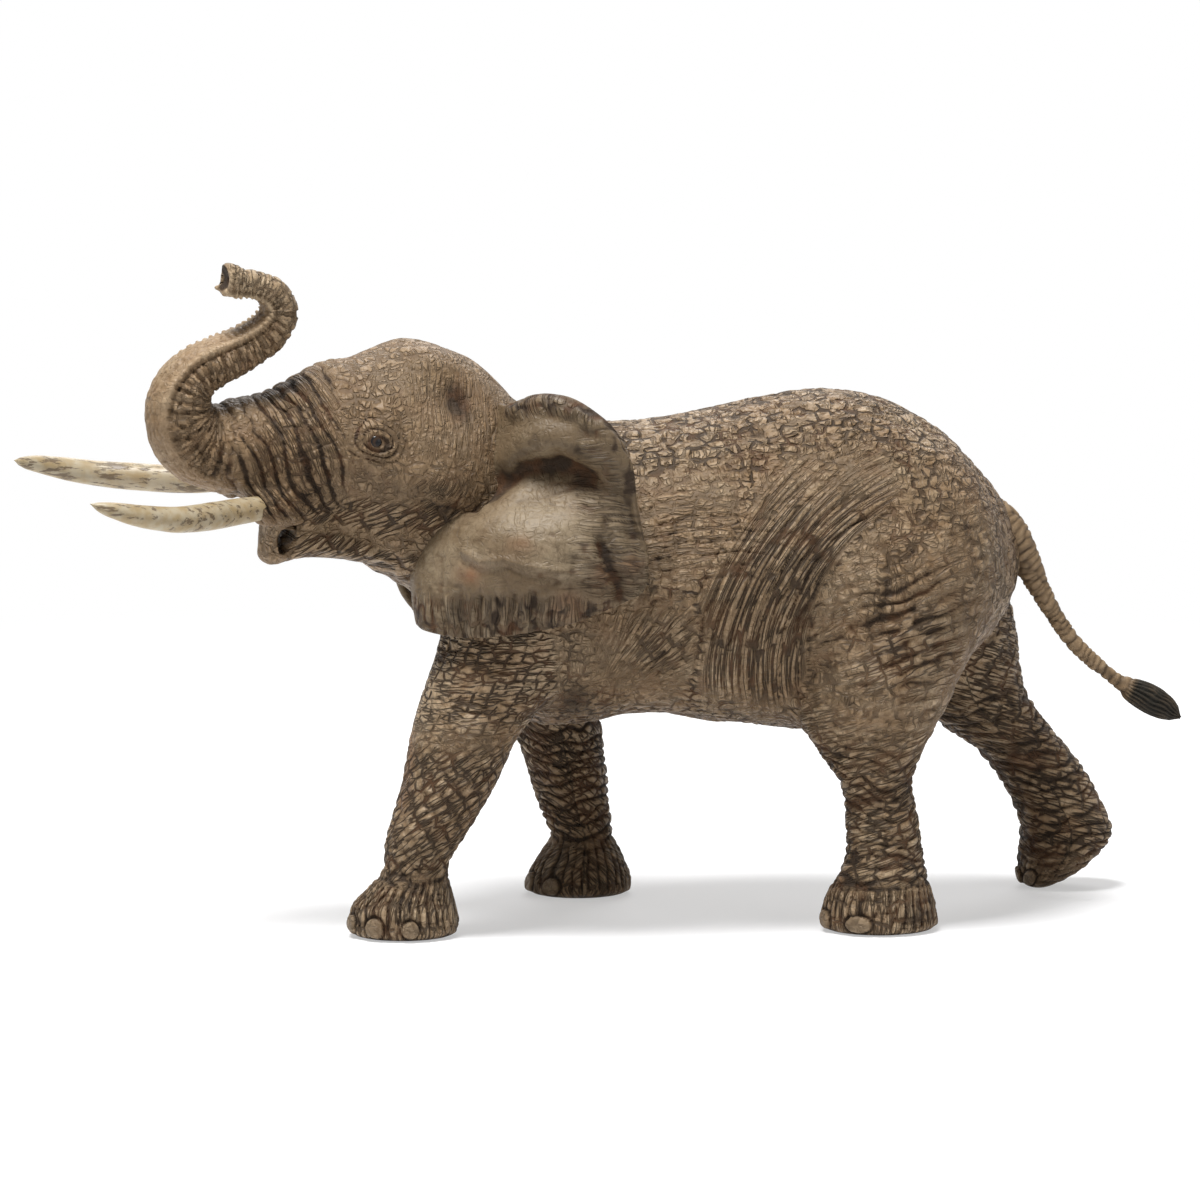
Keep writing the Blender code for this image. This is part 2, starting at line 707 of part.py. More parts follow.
def make_torso_shells():
    """Two hollow halves that meet on the middle plane, keyed by posts and pins."""
    wall_middle = torso_loft("wall_middle", -SHELL_WALL / 2)
    hollow = torso_hollow("torso_hollow")
    for name, side in (("body_left_shell", LEFT), ("body_right_shell", RIGHT)):
        shell = torso_loft(name, 0, is_cutter=False)
        carve(shell, hollow)
        for i, (x, z) in enumerate(POST_SHARES):
            near = Vector((torso_x(x), 0, torso_z(z)))
            far = near + Vector((0, side * TORSO_WIDTH, 0))
            post = cylinder(f"{name}_post_{i + 1}", POST_RADIUS, near, far)
            carve(post, wall_middle, "INTERSECT")
            carve(shell, post, "UNION")
        half = box_cutter(f"{name}_other_half", side)
        carve(shell, half)
        for i, (x, z) in enumerate(POST_SHARES):
            middle = Vector((torso_x(x), 0, torso_z(z)))
            across = Vector((0, PIN_LENGTH, 0))
            if side == LEFT:
                pin = cylinder(f"{name}_pin_{i + 1}", PIN_RADIUS, middle - across, middle + across)
                carve(shell, pin, "UNION")
            else:
                reach = across * (1 + GLUE_GAP / PIN_LENGTH)
                bore_radius = PIN_RADIUS + GLUE_GAP
                carve(shell, cylinder(f"{name}_bore_{i + 1}", bore_radius, middle - reach, middle + reach))
        for leg_name, leg in LEGS.items():
            if leg["side"] == side:
                carve(shell, leg_peg(f"{leg_name}_socket", leg, LEG_PEG_RADIUS + GLUE_GAP, SHELL_WALL))
        carve(shell, tail_tube(f"{name}_tail_bore", GLUE_GAP, True))


def box_cutter(name, side):
    """A block over the other side of the middle plane, which leaves half the glue gap free."""
    mesh = bpy.data.meshes.new(name)
    shape = bmesh.new()
    bmesh.ops.create_cube(shape, size=1)
    size = Vector((
        TORSO_LENGTH + CUT_OVERRUN * 2,
        TORSO_WIDTH,
        torso_z(1) + CUT_OVERRUN * 2,
    ))
    middle = Vector((
        (torso_x(0) + torso_x(1)) / 2,
        -side * (TORSO_WIDTH - GLUE_GAP) / 2,
        torso_z(1) / 2,
    ))
    shape.transform(Matrix.Translation(middle) @ Matrix.Diagonal(size.to_4d()))
    shape.to_mesh(mesh)
    shape.free()
    return add_object(name, mesh, None, True)


def make_legs():
    """Four solid legs, each hollowed to the torso's flank and keyed with a peg."""
    flank = torso_loft("flank_cutter", GLUE_GAP)
    for name, leg in LEGS.items():
        piece = leg_loft(name, leg, 0, False)
        carve(piece, flank)
        carve(piece, leg_peg(f"{name}_peg", leg, LEG_PEG_RADIUS, 0), "UNION")


def from_root(place, root, length, root_on_head):
    """Reach, outward and rise of a place on an ear or tusk whose root keeps to its own place on the head."""
    return [
        start + (share - root_share) * length for share, root_share, start in zip(place, root, root_on_head)
    ]


def tusk_tube(name, side, grow, is_cutter):
    """A tusk from its root in the snout, where the far one starts a little higher."""
    *root, root_radius = TUSK_SHARES[0]
    root_on_head = (
        TUSK_ROOT_REACH_SHARE * HEAD_LENGTH,
        TRUNK_PEG_RADIUS + TUSK_SOCKET_WALL + root_radius * TUSK_RADIUS + GLUE_GAP * 2,
        TUSK_ROOT_RISE_SHARE * HEAD_HEIGHT,
    )
    points = []
    for i, (*place, _) in enumerate(TUSK_SHARES):
        reach, outward, rise = from_root(place, root, TUSK_LENGTH, root_on_head)
        lift = FAR_TUSK_LIFT * (1 - place[0] / TUSK_LIFT_END_SHARE) if side == RIGHT else 0
        points.append(in_head(reach - (grow if i == 0 else 0), side * outward, rise + lift))
    radii = [radius * TUSK_RADIUS + grow for *_, radius in TUSK_SHARES]
    return tapered_tube(name, points, radii, IVORY, is_cutter, 2, 3)


def snout_height():
    """Rise of the middle of the head's last section, where the trunk starts."""
    _, top, bottom, _ = HEAD_SHARES[-1]
    return (top + bottom) / 2 * HEAD_HEIGHT


def trunk_base():
    """Reach and rise of the trunk's first point on the snout."""
    return HEAD_SHARES[-1][0] * HEAD_LENGTH, snout_height()


def trunk_tube(name):
    reach_0, rise_0 = trunk_base()
    points = [
        in_head(reach_0 + reach * TRUNK_RISE, 0, rise_0 + rise * TRUNK_RISE)
        for reach, rise, _ in TRUNK_SHARES
    ]
    radii = [radius * TRUNK_BASE_RADIUS for *_, radius in TRUNK_SHARES]
    return tapered_tube(name, points, radii, SKIN, False, 5, 3)


def trunk_peg(name, radius, extra):
    reach_0, rise_0 = trunk_base()
    front = in_head(reach_0 + GLUE_GAP + radius, 0, rise_0)
    back = in_head(reach_0 - TRUNK_PEG_LENGTH - extra, 0, rise_0)
    return cylinder(name, radius, front, back)


def jaw_peg(name, radius, extra):
    reach = JAW_PEG_REACH_SHARE * HEAD_LENGTH
    foot = JAW_PEG_FOOT_SHARE * HEAD_HEIGHT
    return cylinder(name, radius, in_head(reach, 0, foot), in_head(reach, 0, foot + JAW_PEG_LENGTH + extra))


def ear_point(side, back, up, outward):
    """A point of an ear before its own turn."""
    hinge_back, hinge_up, hinge_outward = EAR_HINGE_SHARES
    place, root = (-back, outward, up), (-hinge_back, hinge_outward, hinge_up)
    hinge = [share * size for share, size in zip(EAR_HINGE_ON_HEAD_SHARES, HEAD_SIZES)]
    reach, across, rise = from_root(place, root, EAR_SPAN, hinge)
    return in_head(reach, side * across, rise)


def ear_turn(side):
    """The far ear lies back along the neck: folded about its upright root and swung at its hem."""
    if side == LEFT:
        return Matrix.Identity(4)
    root = Matrix.Translation(ear_point(side, *EAR_HINGE_SHARES)) @ HEAD_FRAME.to_3x3().to_4x4()
    turn = Matrix.Rotation(-FAR_EAR_FOLD, 4, "Z") @ Matrix.Rotation(-FAR_EAR_SWING, 4, "Y")
    turn = Matrix.Translation((0, 0, -FAR_EAR_DROP)) @ turn
    return root @ turn @ root.inverted()


def ear_flap(name, side, thickness, is_cutter):
    """A cage of hand-placed points, thickened and smoothed into the ear's flap."""
    shape = bmesh.new()
    turn = ear_turn(side)
    rows = [[shape.verts.new(turn @ ear_point(side, *share)) for share in row] for row in EAR_SHARES]
    for upper, lower in zip(rows, rows[1:]):
        for i in range(len(upper) - 1):
            shape.faces.new((upper[i], upper[i + 1], lower[i + 1], lower[i]))
    if side == RIGHT:
        bmesh.ops.reverse_faces(shape, faces=shape.faces)
    mesh = bpy.data.meshes.new(name)
    shape.to_mesh(mesh)
    shape.free()
    ear = add_object(name, mesh, EAR_SKIN, is_cutter)
    skin = ear.modifiers.new("thickness", "SOLIDIFY")
    skin.thickness = thickness
    skin.offset = 0
    smooth = ear.modifiers.new("smooth", "SUBSURF")
    smooth.levels = 2
    smooth.render_levels = 2
    return ear


def ear_peg(name, side, radius, extra):
    """A thin peg that runs inside the flap and on into the head, clear of the neck."""
    outer = ear_turn(side) @ ear_point(side, *EAR_PEG_TOP_SHARES)
    end_shares = LEFT_EAR_PEG_END_SHARES if side == LEFT else RIGHT_EAR_PEG_END_SHARES
    reach, across, rise = (share * size for share, size in zip(end_shares, HEAD_SIZES))
    inner = in_head(reach, side * across, rise)
    inner.y = side * (flank_at(inner.x, inner.z) + EAR_PEG_CLEARANCE)
    inner = inner + (inner - outer).normalized() * extra
    return cylinder(name, radius, outer, inner, sides=12)


def tail_tube(name, grow, is_cutter):
    """The tail hangs in the middle plane, from a root inside the rump."""
    rump = Vector((torso_x(1), 0, torso_z(TAIL_ROOT_Z_SHARE)))
    points = [rump + Vector((reach, 0, rise)) * TAIL_REACH for reach, rise, _ in TAIL_SHARES]
    radii = [radius * TAIL_RADIUS + grow for *_, radius in TAIL_SHARES]
    if grow:
        points[0] = points[0] + (points[0] - points[1]).normalized() * grow
    return tapered_tube(name, points, radii, TAIL_SKIN, is_cutter, 2, 2)


def make_head():
    """Head, lower jaw, trunk, tusks and ears, keyed to each other and to the neck."""
    neck = torso_loft("neck_cutter", GLUE_GAP)
    head = head_loft("head", HEAD_SHARES, HEAD_SIDES, 0, False, head_spots())
    carve(head, neck)
    carve(head, trunk_peg("trunk_socket", TRUNK_PEG_RADIUS + GLUE_GAP, GLUE_GAP))
    carve(head, jaw_peg("jaw_socket", JAW_PEG_RADIUS + GLUE_GAP, GLUE_GAP))

    head_form = head_loft("head_form", HEAD_SHARES, HEAD_SIDES, GLUE_GAP, True, head_spots())
    jaw = head_loft("lower_jaw", JAW_SHARES, JAW_SIDES, 0, False)
    carve(jaw, head_form)
    carve(jaw, neck)
    carve(jaw, jaw_peg("jaw_peg", JAW_PEG_RADIUS, 0), "UNION")

    trunk = trunk_tube("trunk")
    carve(trunk, head_form)
    carve(trunk, trunk_peg("trunk_peg", TRUNK_PEG_RADIUS, 0), "UNION")

    for name, side in (("left_tusk", LEFT), ("right_tusk", RIGHT)):
        tusk_tube(name, side, 0, False)
        bore = tusk_tube(f"{name}_socket", side, GLUE_GAP, True)
        carve(head, bore)
        carve(trunk, bore)
        carve(jaw, bore)

    for name, side in (("left_ear", LEFT), ("right_ear", RIGHT)):
        ear = ear_flap(name, side, EAR_THICKNESS, False)
        carve(ear, head_form)
        carve(ear, ear_peg(f"{name}_peg", side, EAR_PEG_RADIUS, 0), "UNION")
        carve(ear, neck)
        for leg_name, leg in LEGS.items():
            if leg["side"] == side and leg_name.startswith("front"):
                carve(ear, leg_loft(f"{name}_shoulder_cutter", leg, GLUE_GAP, True))
        carve(head, ear_peg(f"{name}_socket", side, EAR_PEG_RADIUS + GLUE_GAP, GLUE_GAP))


def make_tail():
    tail_tube("tail", 0, False)


def stand_on_origin():
    """Parent every piece to one empty, moved so that the middle of the figure's base is the origin."""
    bpy.context.view_layer.update()
    graph = bpy.context.evaluated_depsgraph_get()
    corners = [
        piece.matrix_world @ Vector(corner)
        for piece in PIECES.objects
        for corner in piece.evaluated_get(graph).bound_box
    ]
    low = Vector(min(c[i] for c in corners) for i in range(3))
    high = Vector(max(c[i] for c in corners) for i in range(3))
    root = bpy.data.objects.new("figure_origin", None)
    bpy.context.scene.collection.objects.link(root)
    root.location = (-(low.x + high.x) / 2, -(low.y + high.y) / 2, -low.z)
    for obj in [*PIECES.objects, *CUTTERS.objects]:
        obj.parent = root
    return root


make_torso_shells()
make_legs()
make_head()
make_tail()
stand_on_origin()
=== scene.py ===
"""Looks of the moulded toy elephant: one folded and cracked skin, trunk, tusks, ears, tail and eyes.

Lengths in the functions are in millimetres in the body's own frame (head towards -X, left flank towards -Y);
place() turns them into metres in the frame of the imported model.
"""

import math

import bpy
import numpy as np
from bpy.props import FloatProperty, FloatVectorProperty, PointerProperty
from mathutils import Euler, Matrix, Vector


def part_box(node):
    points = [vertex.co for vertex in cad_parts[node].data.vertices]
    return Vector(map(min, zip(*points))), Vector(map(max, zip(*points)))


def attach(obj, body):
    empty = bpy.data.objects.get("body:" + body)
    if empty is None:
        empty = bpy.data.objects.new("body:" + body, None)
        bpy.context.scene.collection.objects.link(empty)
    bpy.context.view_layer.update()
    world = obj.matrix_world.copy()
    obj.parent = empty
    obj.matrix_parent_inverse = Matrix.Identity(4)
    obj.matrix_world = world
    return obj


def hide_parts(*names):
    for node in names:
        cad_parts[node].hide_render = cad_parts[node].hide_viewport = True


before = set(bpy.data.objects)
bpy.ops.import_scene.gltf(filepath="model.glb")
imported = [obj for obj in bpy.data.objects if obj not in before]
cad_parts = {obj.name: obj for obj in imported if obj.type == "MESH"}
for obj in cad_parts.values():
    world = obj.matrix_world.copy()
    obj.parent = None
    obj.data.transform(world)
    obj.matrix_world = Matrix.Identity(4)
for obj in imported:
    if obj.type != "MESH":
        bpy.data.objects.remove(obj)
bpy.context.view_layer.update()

bl_info = {
    "name": "Toy Elephant Looks",
    "version": (1, 0, 0),
    "blender": (4, 5, 0),
    "location": "View3D > Sidebar > Toy Elephant",
    "description": "Builds the wrinkled skin, trunk, tusks, ears, tail and eyes of a moulded toy elephant",
    "category": "Object",
}

# Sizes of the solids, in millimetres

TORSO_LENGTH, TORSO_HEIGHT, TORSO_WIDTH = 110.0, 60.0, 62.0
BELLY = 33.0
HEAD_LENGTH, HEAD_HEIGHT, HEAD_WIDTH = 52.5, 41.0, 41.0
TRUNK_RISE, TRUNK_RADIUS = 30.0, 8.0
TUSK_LENGTH, TUSK_RADIUS, FAR_TUSK_LIFT = 42.0, 2.4, 1.4
EAR_SPAN = 45.0
TRACK = 44.0
TAIL_REACH, TAIL_RADIUS = 30.0, 3.2
TORSO_FRONT = 0.342

# the animal's sides, as signs along Y
LEFT, RIGHT = -1, 1

# reach, across and rise of the eye on the head, and how deep the caps between pieces lie
EYE_PLACE = (26.3, 15.4, 10.4)
CAP_DEPTH = 0.8

# the photo's camera: cosine and sine of its turn and of its tilt, the height it looks at, its distance, and
# the size of one pixel there
PHOTO_TURN, PHOTO_TILT = (0.997, 0.078), (0.9917, 0.129)
PHOTO_HEIGHT, PHOTO_DISTANCE, PHOTO_PIXEL = 55.6, 2000, 0.175

# x, top, bottom and width of the torso's sections
TORSO = np.array([
    (0.000, 0.890, 0.510, 0.36), (0.022, 0.915, 0.445, 0.47), (0.055, 0.937, 0.377, 0.55),
    (0.087, 0.943, 0.278, 0.61), (0.135, 0.937, 0.155, 0.69), (0.183, 0.932, 0.067, 0.76),
    (0.246, 0.925, 0.017, 0.84), (0.310, 0.910, 0.020, 0.90), (0.374, 0.903, 0.045, 0.945),
    (0.437, 0.911, 0.050, 0.98), (0.500, 0.932, 0.027, 1.00), (0.580, 0.964, 0.013, 0.995),
    (0.660, 0.988, -0.005, 0.96), (0.724, 0.991, 0.000, 0.93), (0.787, 0.967, 0.037, 0.89),
    (0.851, 0.913, 0.097, 0.82), (0.900, 0.850, 0.155, 0.725), (0.946, 0.760, 0.228, 0.58),
    (0.978, 0.684, 0.300, 0.42), (1.000, 0.600, 0.377, 0.24), (1.010, 0.540, 0.430, 0.10),
])

# height and radius as shares of the torso's width, then x and z shares, of the flanks' swellings
TORSO_SWELLINGS = (
    (0.022, 0.110, 0.790, 0.800), (-0.020, 0.105, 0.735, 0.640), (-0.025, 0.120, 0.680, 0.450),
    (-0.020, 0.120, 0.635, 0.250), (0.014, 0.220, 0.500, 0.530), (-0.017, 0.130, 0.355, 0.290),
)

# height and radius as shares of the head's height, then reach, outward share of half the width and rise
HEAD_SWELLINGS = (
    (-0.056, 0.115, 0.219, 0.65, 0.417), (0.024, 0.100, 0.430, 0.62, 0.415),
    (0.020, 0.090, 0.500, 0.74, 0.255), (0.022, 0.140, 0.270, 0.93, 0.100),
    (-0.024, 0.120, 0.560, 0.62, -0.020), (0.020, 0.150, 0.250, 0.30, 0.550),
    (-0.026, 0.065, 0.219, 0.78, 0.400), (0.016, 0.070, 0.500, 0.80, 0.390),
    (0.016, 0.085, 0.400, 0.90, 0.110),
)

# reach, top, bottom and width of the head and of the lower jaw
HEAD = np.array([
    (-0.130, 0.10, -0.15, 0.25), (-0.114, 0.24, -0.29, 0.55), (-0.076, 0.34, -0.34, 0.72),
    (0.000, 0.455, -0.39, 0.88), (0.095, 0.53, -0.40, 0.97), (0.190, 0.57, -0.39, 1.00),
    (0.286, 0.587, -0.35, 0.975), (0.380, 0.557, -0.29, 0.90), (0.476, 0.530, -0.22, 0.81),
    (0.570, 0.520, -0.16, 0.71), (0.667, 0.465, -0.11, 0.61), (0.760, 0.410, -0.06, 0.53),
    (0.838, 0.378, -0.025, 0.465), (0.905, 0.360, 0.000, 0.41), (0.950, 0.330, 0.030, 0.34),
    (0.990, 0.270, 0.090, 0.16),
])
JAW = np.array([
    (0.280, -0.190, -0.330, 0.30), (0.300, -0.150, -0.370, 0.56), (0.438, -0.146, -0.340, 0.52),
    (0.552, -0.134, -0.314, 0.46), (0.640, -0.118, -0.310, 0.40), (0.683, -0.120, -0.320, 0.35),
    (0.718, -0.124, -0.334, 0.31), (0.742, -0.126, -0.345, 0.27), (0.760, -0.134, -0.346, 0.21),
    (0.774, -0.160, -0.340, 0.14), (0.782, -0.230, -0.320, 0.04),
])

# height, shift along the stride, length, spread and width of each leg's sections, sole first
LEFT_FORE = np.array([
    (0.000, 1.000, 0.745, 1.00, 0.93), (0.076, 1.000, 0.785, 1.00, 0.98), (0.158, 0.995, 0.735, 1.00, 0.94),
    (0.248, 0.950, 0.600, 1.00, 0.80), (0.348, 0.900, 0.465, 1.00, 0.66), (0.410, 0.885, 0.480, 1.00, 0.67),
    (0.506, 0.830, 0.550, 1.00, 0.73), (0.612, 0.755, 0.595, 1.00, 0.77), (0.720, 0.675, 0.640, 1.00, 0.80),
    (0.827, 0.605, 0.680, 0.99, 0.83), (0.940, 0.555, 0.720, 0.97, 0.86), (1.053, 0.455, 0.795, 0.955, 0.92),
    (1.167, 0.270, 0.930, 0.91, 0.98), (1.317, 0.093, 0.985, 0.865, 1.01), (1.483, 0.000, 1.000, 0.82, 1.01),
    (1.650, -0.140, 0.840, 0.69, 0.78), (1.767, -0.230, 0.560, 0.52, 0.50),
])
RIGHT_FORE = np.array([
    (0.000, 1.000, 0.745, 1.07, 0.93), (0.076, 1.000, 0.755, 1.07, 0.97), (0.130, 1.020, 0.710, 1.07, 0.93),
    (0.236, 1.050, 0.570, 1.07, 0.79), (0.300, 1.080, 0.460, 1.07, 0.65), (0.397, 1.000, 0.490, 1.07, 0.65),
    (0.506, 0.900, 0.525, 1.06, 0.68), (0.612, 0.830, 0.560, 1.05, 0.72), (0.720, 0.760, 0.585, 1.04, 0.76),
    (0.827, 0.680, 0.615, 1.02, 0.80), (0.960, 0.580, 0.650, 0.99, 0.85), (1.083, 0.400, 0.760, 0.95, 0.92),
    (1.217, 0.200, 0.880, 0.90, 0.98), (1.383, 0.000, 0.960, 0.84, 1.01), (1.550, 0.000, 0.920, 0.80, 0.98),
    (1.700, 0.100, 0.720, 0.64, 0.68), (1.783, 0.200, 0.520, 0.48, 0.50),
])
LEFT_HIND = np.array([
    (0.000, 0.980, 0.660, 0.98, 0.80), (0.048, 0.980, 0.672, 0.98, 0.825),
    (0.130, 0.980, 0.650, 0.98, 0.80), (0.212, 0.940, 0.590, 0.98, 0.75),
    (0.291, 0.880, 0.520, 0.975, 0.68), (0.373, 0.820, 0.460, 0.97, 0.61),
    (0.479, 0.830, 0.435, 0.96, 0.585), (0.585, 0.880, 0.419, 0.955, 0.585),
    (0.694, 0.980, 0.405, 0.95, 0.59), (0.773, 1.050, 0.415, 0.945, 0.61),
    (0.882, 1.180, 0.520, 0.93, 0.67), (0.988, 1.250, 0.650, 0.91, 0.75),
    (1.038, 1.230, 0.755, 0.89, 0.81), (1.133, 1.080, 0.890, 0.86, 0.90),
    (1.275, 0.680, 0.968, 0.79, 0.98), (1.417, 0.280, 1.000, 0.73, 1.02),
    (1.550, 0.020, 0.935, 0.68, 0.98), (1.683, -0.080, 0.774, 0.56, 0.80),
    (1.800, 0.000, 0.516, 0.40, 0.45),
])
RIGHT_HIND = np.array([
    (0.000, 1.060, 0.168, 1.13, 0.38), (0.039, 1.100, 0.271, 1.13, 0.50), (0.094, 1.150, 0.375, 1.13, 0.60),
    (0.148, 1.195, 0.450, 1.13, 0.66), (0.200, 1.235, 0.510, 1.13, 0.69), (0.255, 1.265, 0.540, 1.13, 0.70),
    (0.318, 1.275, 0.545, 1.13, 0.69), (0.388, 1.250, 0.530, 1.13, 0.65), (0.470, 1.200, 0.525, 1.13, 0.625),
    (0.576, 1.130, 0.535, 1.13, 0.625), (0.685, 1.035, 0.540, 1.10, 0.63), (0.791, 0.910, 0.565, 1.07, 0.67),
    (0.873, 0.790, 0.610, 1.03, 0.71), (0.955, 0.690, 0.650, 1.00, 0.75), (1.033, 0.575, 0.685, 0.96, 0.81),
    (1.125, 0.495, 0.715, 0.92, 0.87), (1.217, 0.410, 0.806, 0.86, 0.93), (1.307, 0.330, 0.871, 0.82, 0.98),
    (1.417, 0.216, 0.935, 0.75, 1.02), (1.550, 0.118, 0.903, 0.68, 0.98), (1.683, 0.060, 0.774, 0.56, 0.80),
    (1.800, 0.000, 0.516, 0.40, 0.45),
])

# name: stations, side, x share of its top, stride, largest length and width
LEGS = {
    "front_left_leg": (LEFT_FORE, LEFT, 0.2055, -21.0, 25.0, 19.0),
    "front_right_leg": (RIGHT_FORE, RIGHT, 0.233, 10.0, 25.0, 19.0),
    "hind_left_leg": (LEFT_HIND, LEFT, 0.824, -6.0, 31.0, 24.0),
    "hind_right_leg": (RIGHT_HIND, RIGHT, 0.824, 25.5, 31.0, 24.0),
}

# reach, rise and radius along the trunk, and along the tail
TRUNK = np.array([
    (-0.060, 0.000, 0.925), (0.117, -0.015, 0.920), (0.230, 0.015, 0.860), (0.325, 0.100, 0.800),
    (0.367, 0.218, 0.735), (0.338, 0.350, 0.650), (0.240, 0.450, 0.590), (0.095, 0.520, 0.540),
    (-0.055, 0.585, 0.505), (-0.185, 0.670, 0.475), (-0.250, 0.785, 0.430), (-0.195, 0.895, 0.375),
    (-0.090, 0.945, 0.335), (0.025, 0.965, 0.350), (0.125, 0.988, 0.420),
])
TAIL = np.array([
    (-0.300, 0.360, 0.70), (-0.130, 0.300, 0.90), (-0.015, 0.190, 0.97), (0.085, 0.010, 0.85),
    (0.170, -0.165, 0.62), (0.268, -0.335, 0.51), (0.378, -0.492, 0.46), (0.508, -0.618, 0.43),
    (0.636, -0.720, 0.41), (0.722, -0.775, 0.68), (0.815, -0.825, 0.82), (0.918, -0.885, 0.70),
    (1.010, -0.945, 0.27),
])

# reach, outward shift, rise and radius along a tusk
TUSK = np.array([
    (0.000, 0.170, -0.030, 0.74), (0.107, 0.202, -0.040, 0.85), (0.280, 0.262, -0.043, 0.98),
    (0.457, 0.357, -0.035, 1.00), (0.630, 0.430, -0.017, 0.91), (0.774, 0.460, 0.012, 0.79),
    (0.867, 0.464, 0.036, 0.63), (0.925, 0.455, 0.050, 0.45), (0.982, 0.440, 0.068, 0.10),
])

# back, up and outward places of the ear's surface, rows from the top edge down, root to rear edge
EAR = np.array([
    [(-.03, .30, .18), (-.03, .31, .34), (.02, .38, .48),
     (.09, .40, .62), (.17, .35, .74), (.25, .26, .81)],
    [(-.06, .24, .24), (-.06, .25, .39), (-.02, .31, .55),
     (.07, .32, .68), (.16, .27, .79), (.265, .18, .83)],
    [(-.10, .16, .28), (-.10, .16, .43), (-.06, .23, .60),
     (.04, .24, .71), (.15, .19, .82), (.275, .10, .85)],
    [(-.17, .00, .26), (-.17, .00, .41), (-.09, .04, .55),
     (.04, .07, .63), (.16, .04, .80), (.30, -.05, .88)],
    [(-.31, -.14, .28), (-.31, -.14, .42), (-.24, -.11, .66),
     (-.10, -.10, .80), (.09, -.13, .89), (.325, -.20, .905)],
    [(-.39, -.31, .30), (-.39, -.31, .44), (-.29, -.30, .67),
     (-.13, -.29, .83), (.07, -.28, .91), (.32, -.30, .905)],
    [(-.41, -.43, .36), (-.41, -.43, .48), (-.30, -.42, .65),
     (-.13, -.395, .80), (.06, -.365, .88), (.26, -.34, .90)],
    [(-.40, -.53, .40), (-.40, -.53, .51), (-.29, -.53, .63),
     (-.12, -.49, .75), (.04, -.44, .83), (.18, -.37, .88)],
])

# drawn lines and patches of the near ear in the photograph, in pixels: knots of each line, then its height in
# millimetres and half width; middle, half size and height of each bump
# lines sunk below the ear's surface are also painted with shade
EAR_LINES = (
    (
        ((520, 414), (548, 405), (575, 414), (600, 432), (621, 462), (634, 497), (643, 530), (646, 556)),
        1.60, 10,
    ),
    (((476, 503), (500, 481), (528, 468), (560, 464), (588, 478)), -1.90, 11),
    (((530, 396), (560, 397), (590, 412), (612, 436)), -0.35, 5),
    (((468, 552), (486, 563), (505, 559), (528, 567), (552, 570), (580, 574)), 0.50, 4),
    (((466, 563), (486, 573), (508, 569), (530, 577), (556, 581)), -0.30, 4),
    (((600, 545), (608, 562), (614, 578), (618, 592)), -1.35, 6.5),
    (((447, 560), (444, 600), (446, 634)), -0.40, 4),
    (((462, 590), (460, 612), (463, 634)), -0.55, 4),
    (((480, 596), (478, 614), (481, 632)), -0.75, 4),
    (((497, 600), (496, 614), (498, 630)), -0.50, 3.5),
    (((512, 594), (510, 610), (513, 628)), -0.75, 4),
    (((533, 592), (531, 608), (534, 625)), -0.70, 4),
    (((552, 596), (551, 608), (554, 620)), -0.45, 3.5),
    (((575, 560), (570, 590), (578, 612)), -0.35, 5),
)
EAR_BUMPS = (
    (632, 566, 13, 14, 0.55), (590, 556, 13, 12, 0.50), (556, 520, 22, 16, 0.35), (472, 606, 7, 14, 0.35),
    (490, 608, 6, 12, 0.35), (523, 606, 7, 12, 0.40), (543, 606, 6, 10, 0.35), (455, 608, 6, 14, 0.30),
    (565, 602, 9, 10, 0.35), (600, 592, 8, 8, 0.30),
)
EAR_RUST = ((565, 605, 14, 11), (475, 575, 12, 12), (630, 565, 11, 9), (600, 572, 10, 9), (520, 545, 20, 8))
EAR_HINGE = np.array((-0.17, 0.04, 0.41))
FAR_EAR_FOLD, FAR_EAR_SWING, FAR_EAR_DROP = math.radians(25), math.radians(40), 7.5

NECK = Vector(((0.151 - TORSO_FRONT) * TORSO_LENGTH, 0, BELLY + 0.75 * TORSO_HEIGHT))
HEAD_TURN = np.array(Euler((math.radians(6.5), 0, math.radians(19))).to_matrix())
SNOUT = (0.886 * HEAD_LENGTH, (0.362 - 0.005) / 2 * HEAD_HEIGHT)

# where the body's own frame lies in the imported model's: front, middle plane and floor
SHIFT = np.array((
    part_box("body_left_shell")[0][0] * 1000 + TORSO_FRONT * TORSO_LENGTH,
    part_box("body_right_shell")[0][1] * 1000 - 0.15,
    0.0,
))

# Small tools


def place(points):
    """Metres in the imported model's frame, from millimetres in the body's own frame."""
    return (np.asarray(points) + SHIFT) / 1000


def from_head(reach, across, rise):
    """A place given along the head's own axes, in the body's frame."""
    local = np.stack(np.broadcast_arrays(-np.asarray(reach, float), across, rise), -1)
    return local @ HEAD_TURN.T + np.array(NECK)


def to_head(points):
    """Reach, across and rise on the head of points in the body's frame."""
    local = (points - np.array(NECK)) @ HEAD_TURN
    return -local[:, 0], local[:, 1], local[:, 2]


def smooth_rows(table, count=240):
    """A table's rows filled in by a cubic curve through them, sloped at a row as between its neighbours."""
    knots, values = table[:, 0], table[:, 1:]
    slopes = np.gradient(values, knots, axis=0)
    at = np.linspace(knots[0], knots[-1], count)
    i = np.clip(np.searchsorted(knots, at, "right") - 1, 0, len(knots) - 2)
    width = (knots[i + 1] - knots[i])[:, None]
    t = (at - knots[i])[:, None] / width
    filled = (
        (2 * t**3 - 3 * t**2 + 1) * values[i]
        + (t**3 - 2 * t**2 + t) * width * slopes[i]
        + (3 * t**2 - 2 * t**3) * values[i + 1]
        + (t**3 - t**2) * width * slopes[i + 1]
    )
    return at, filled


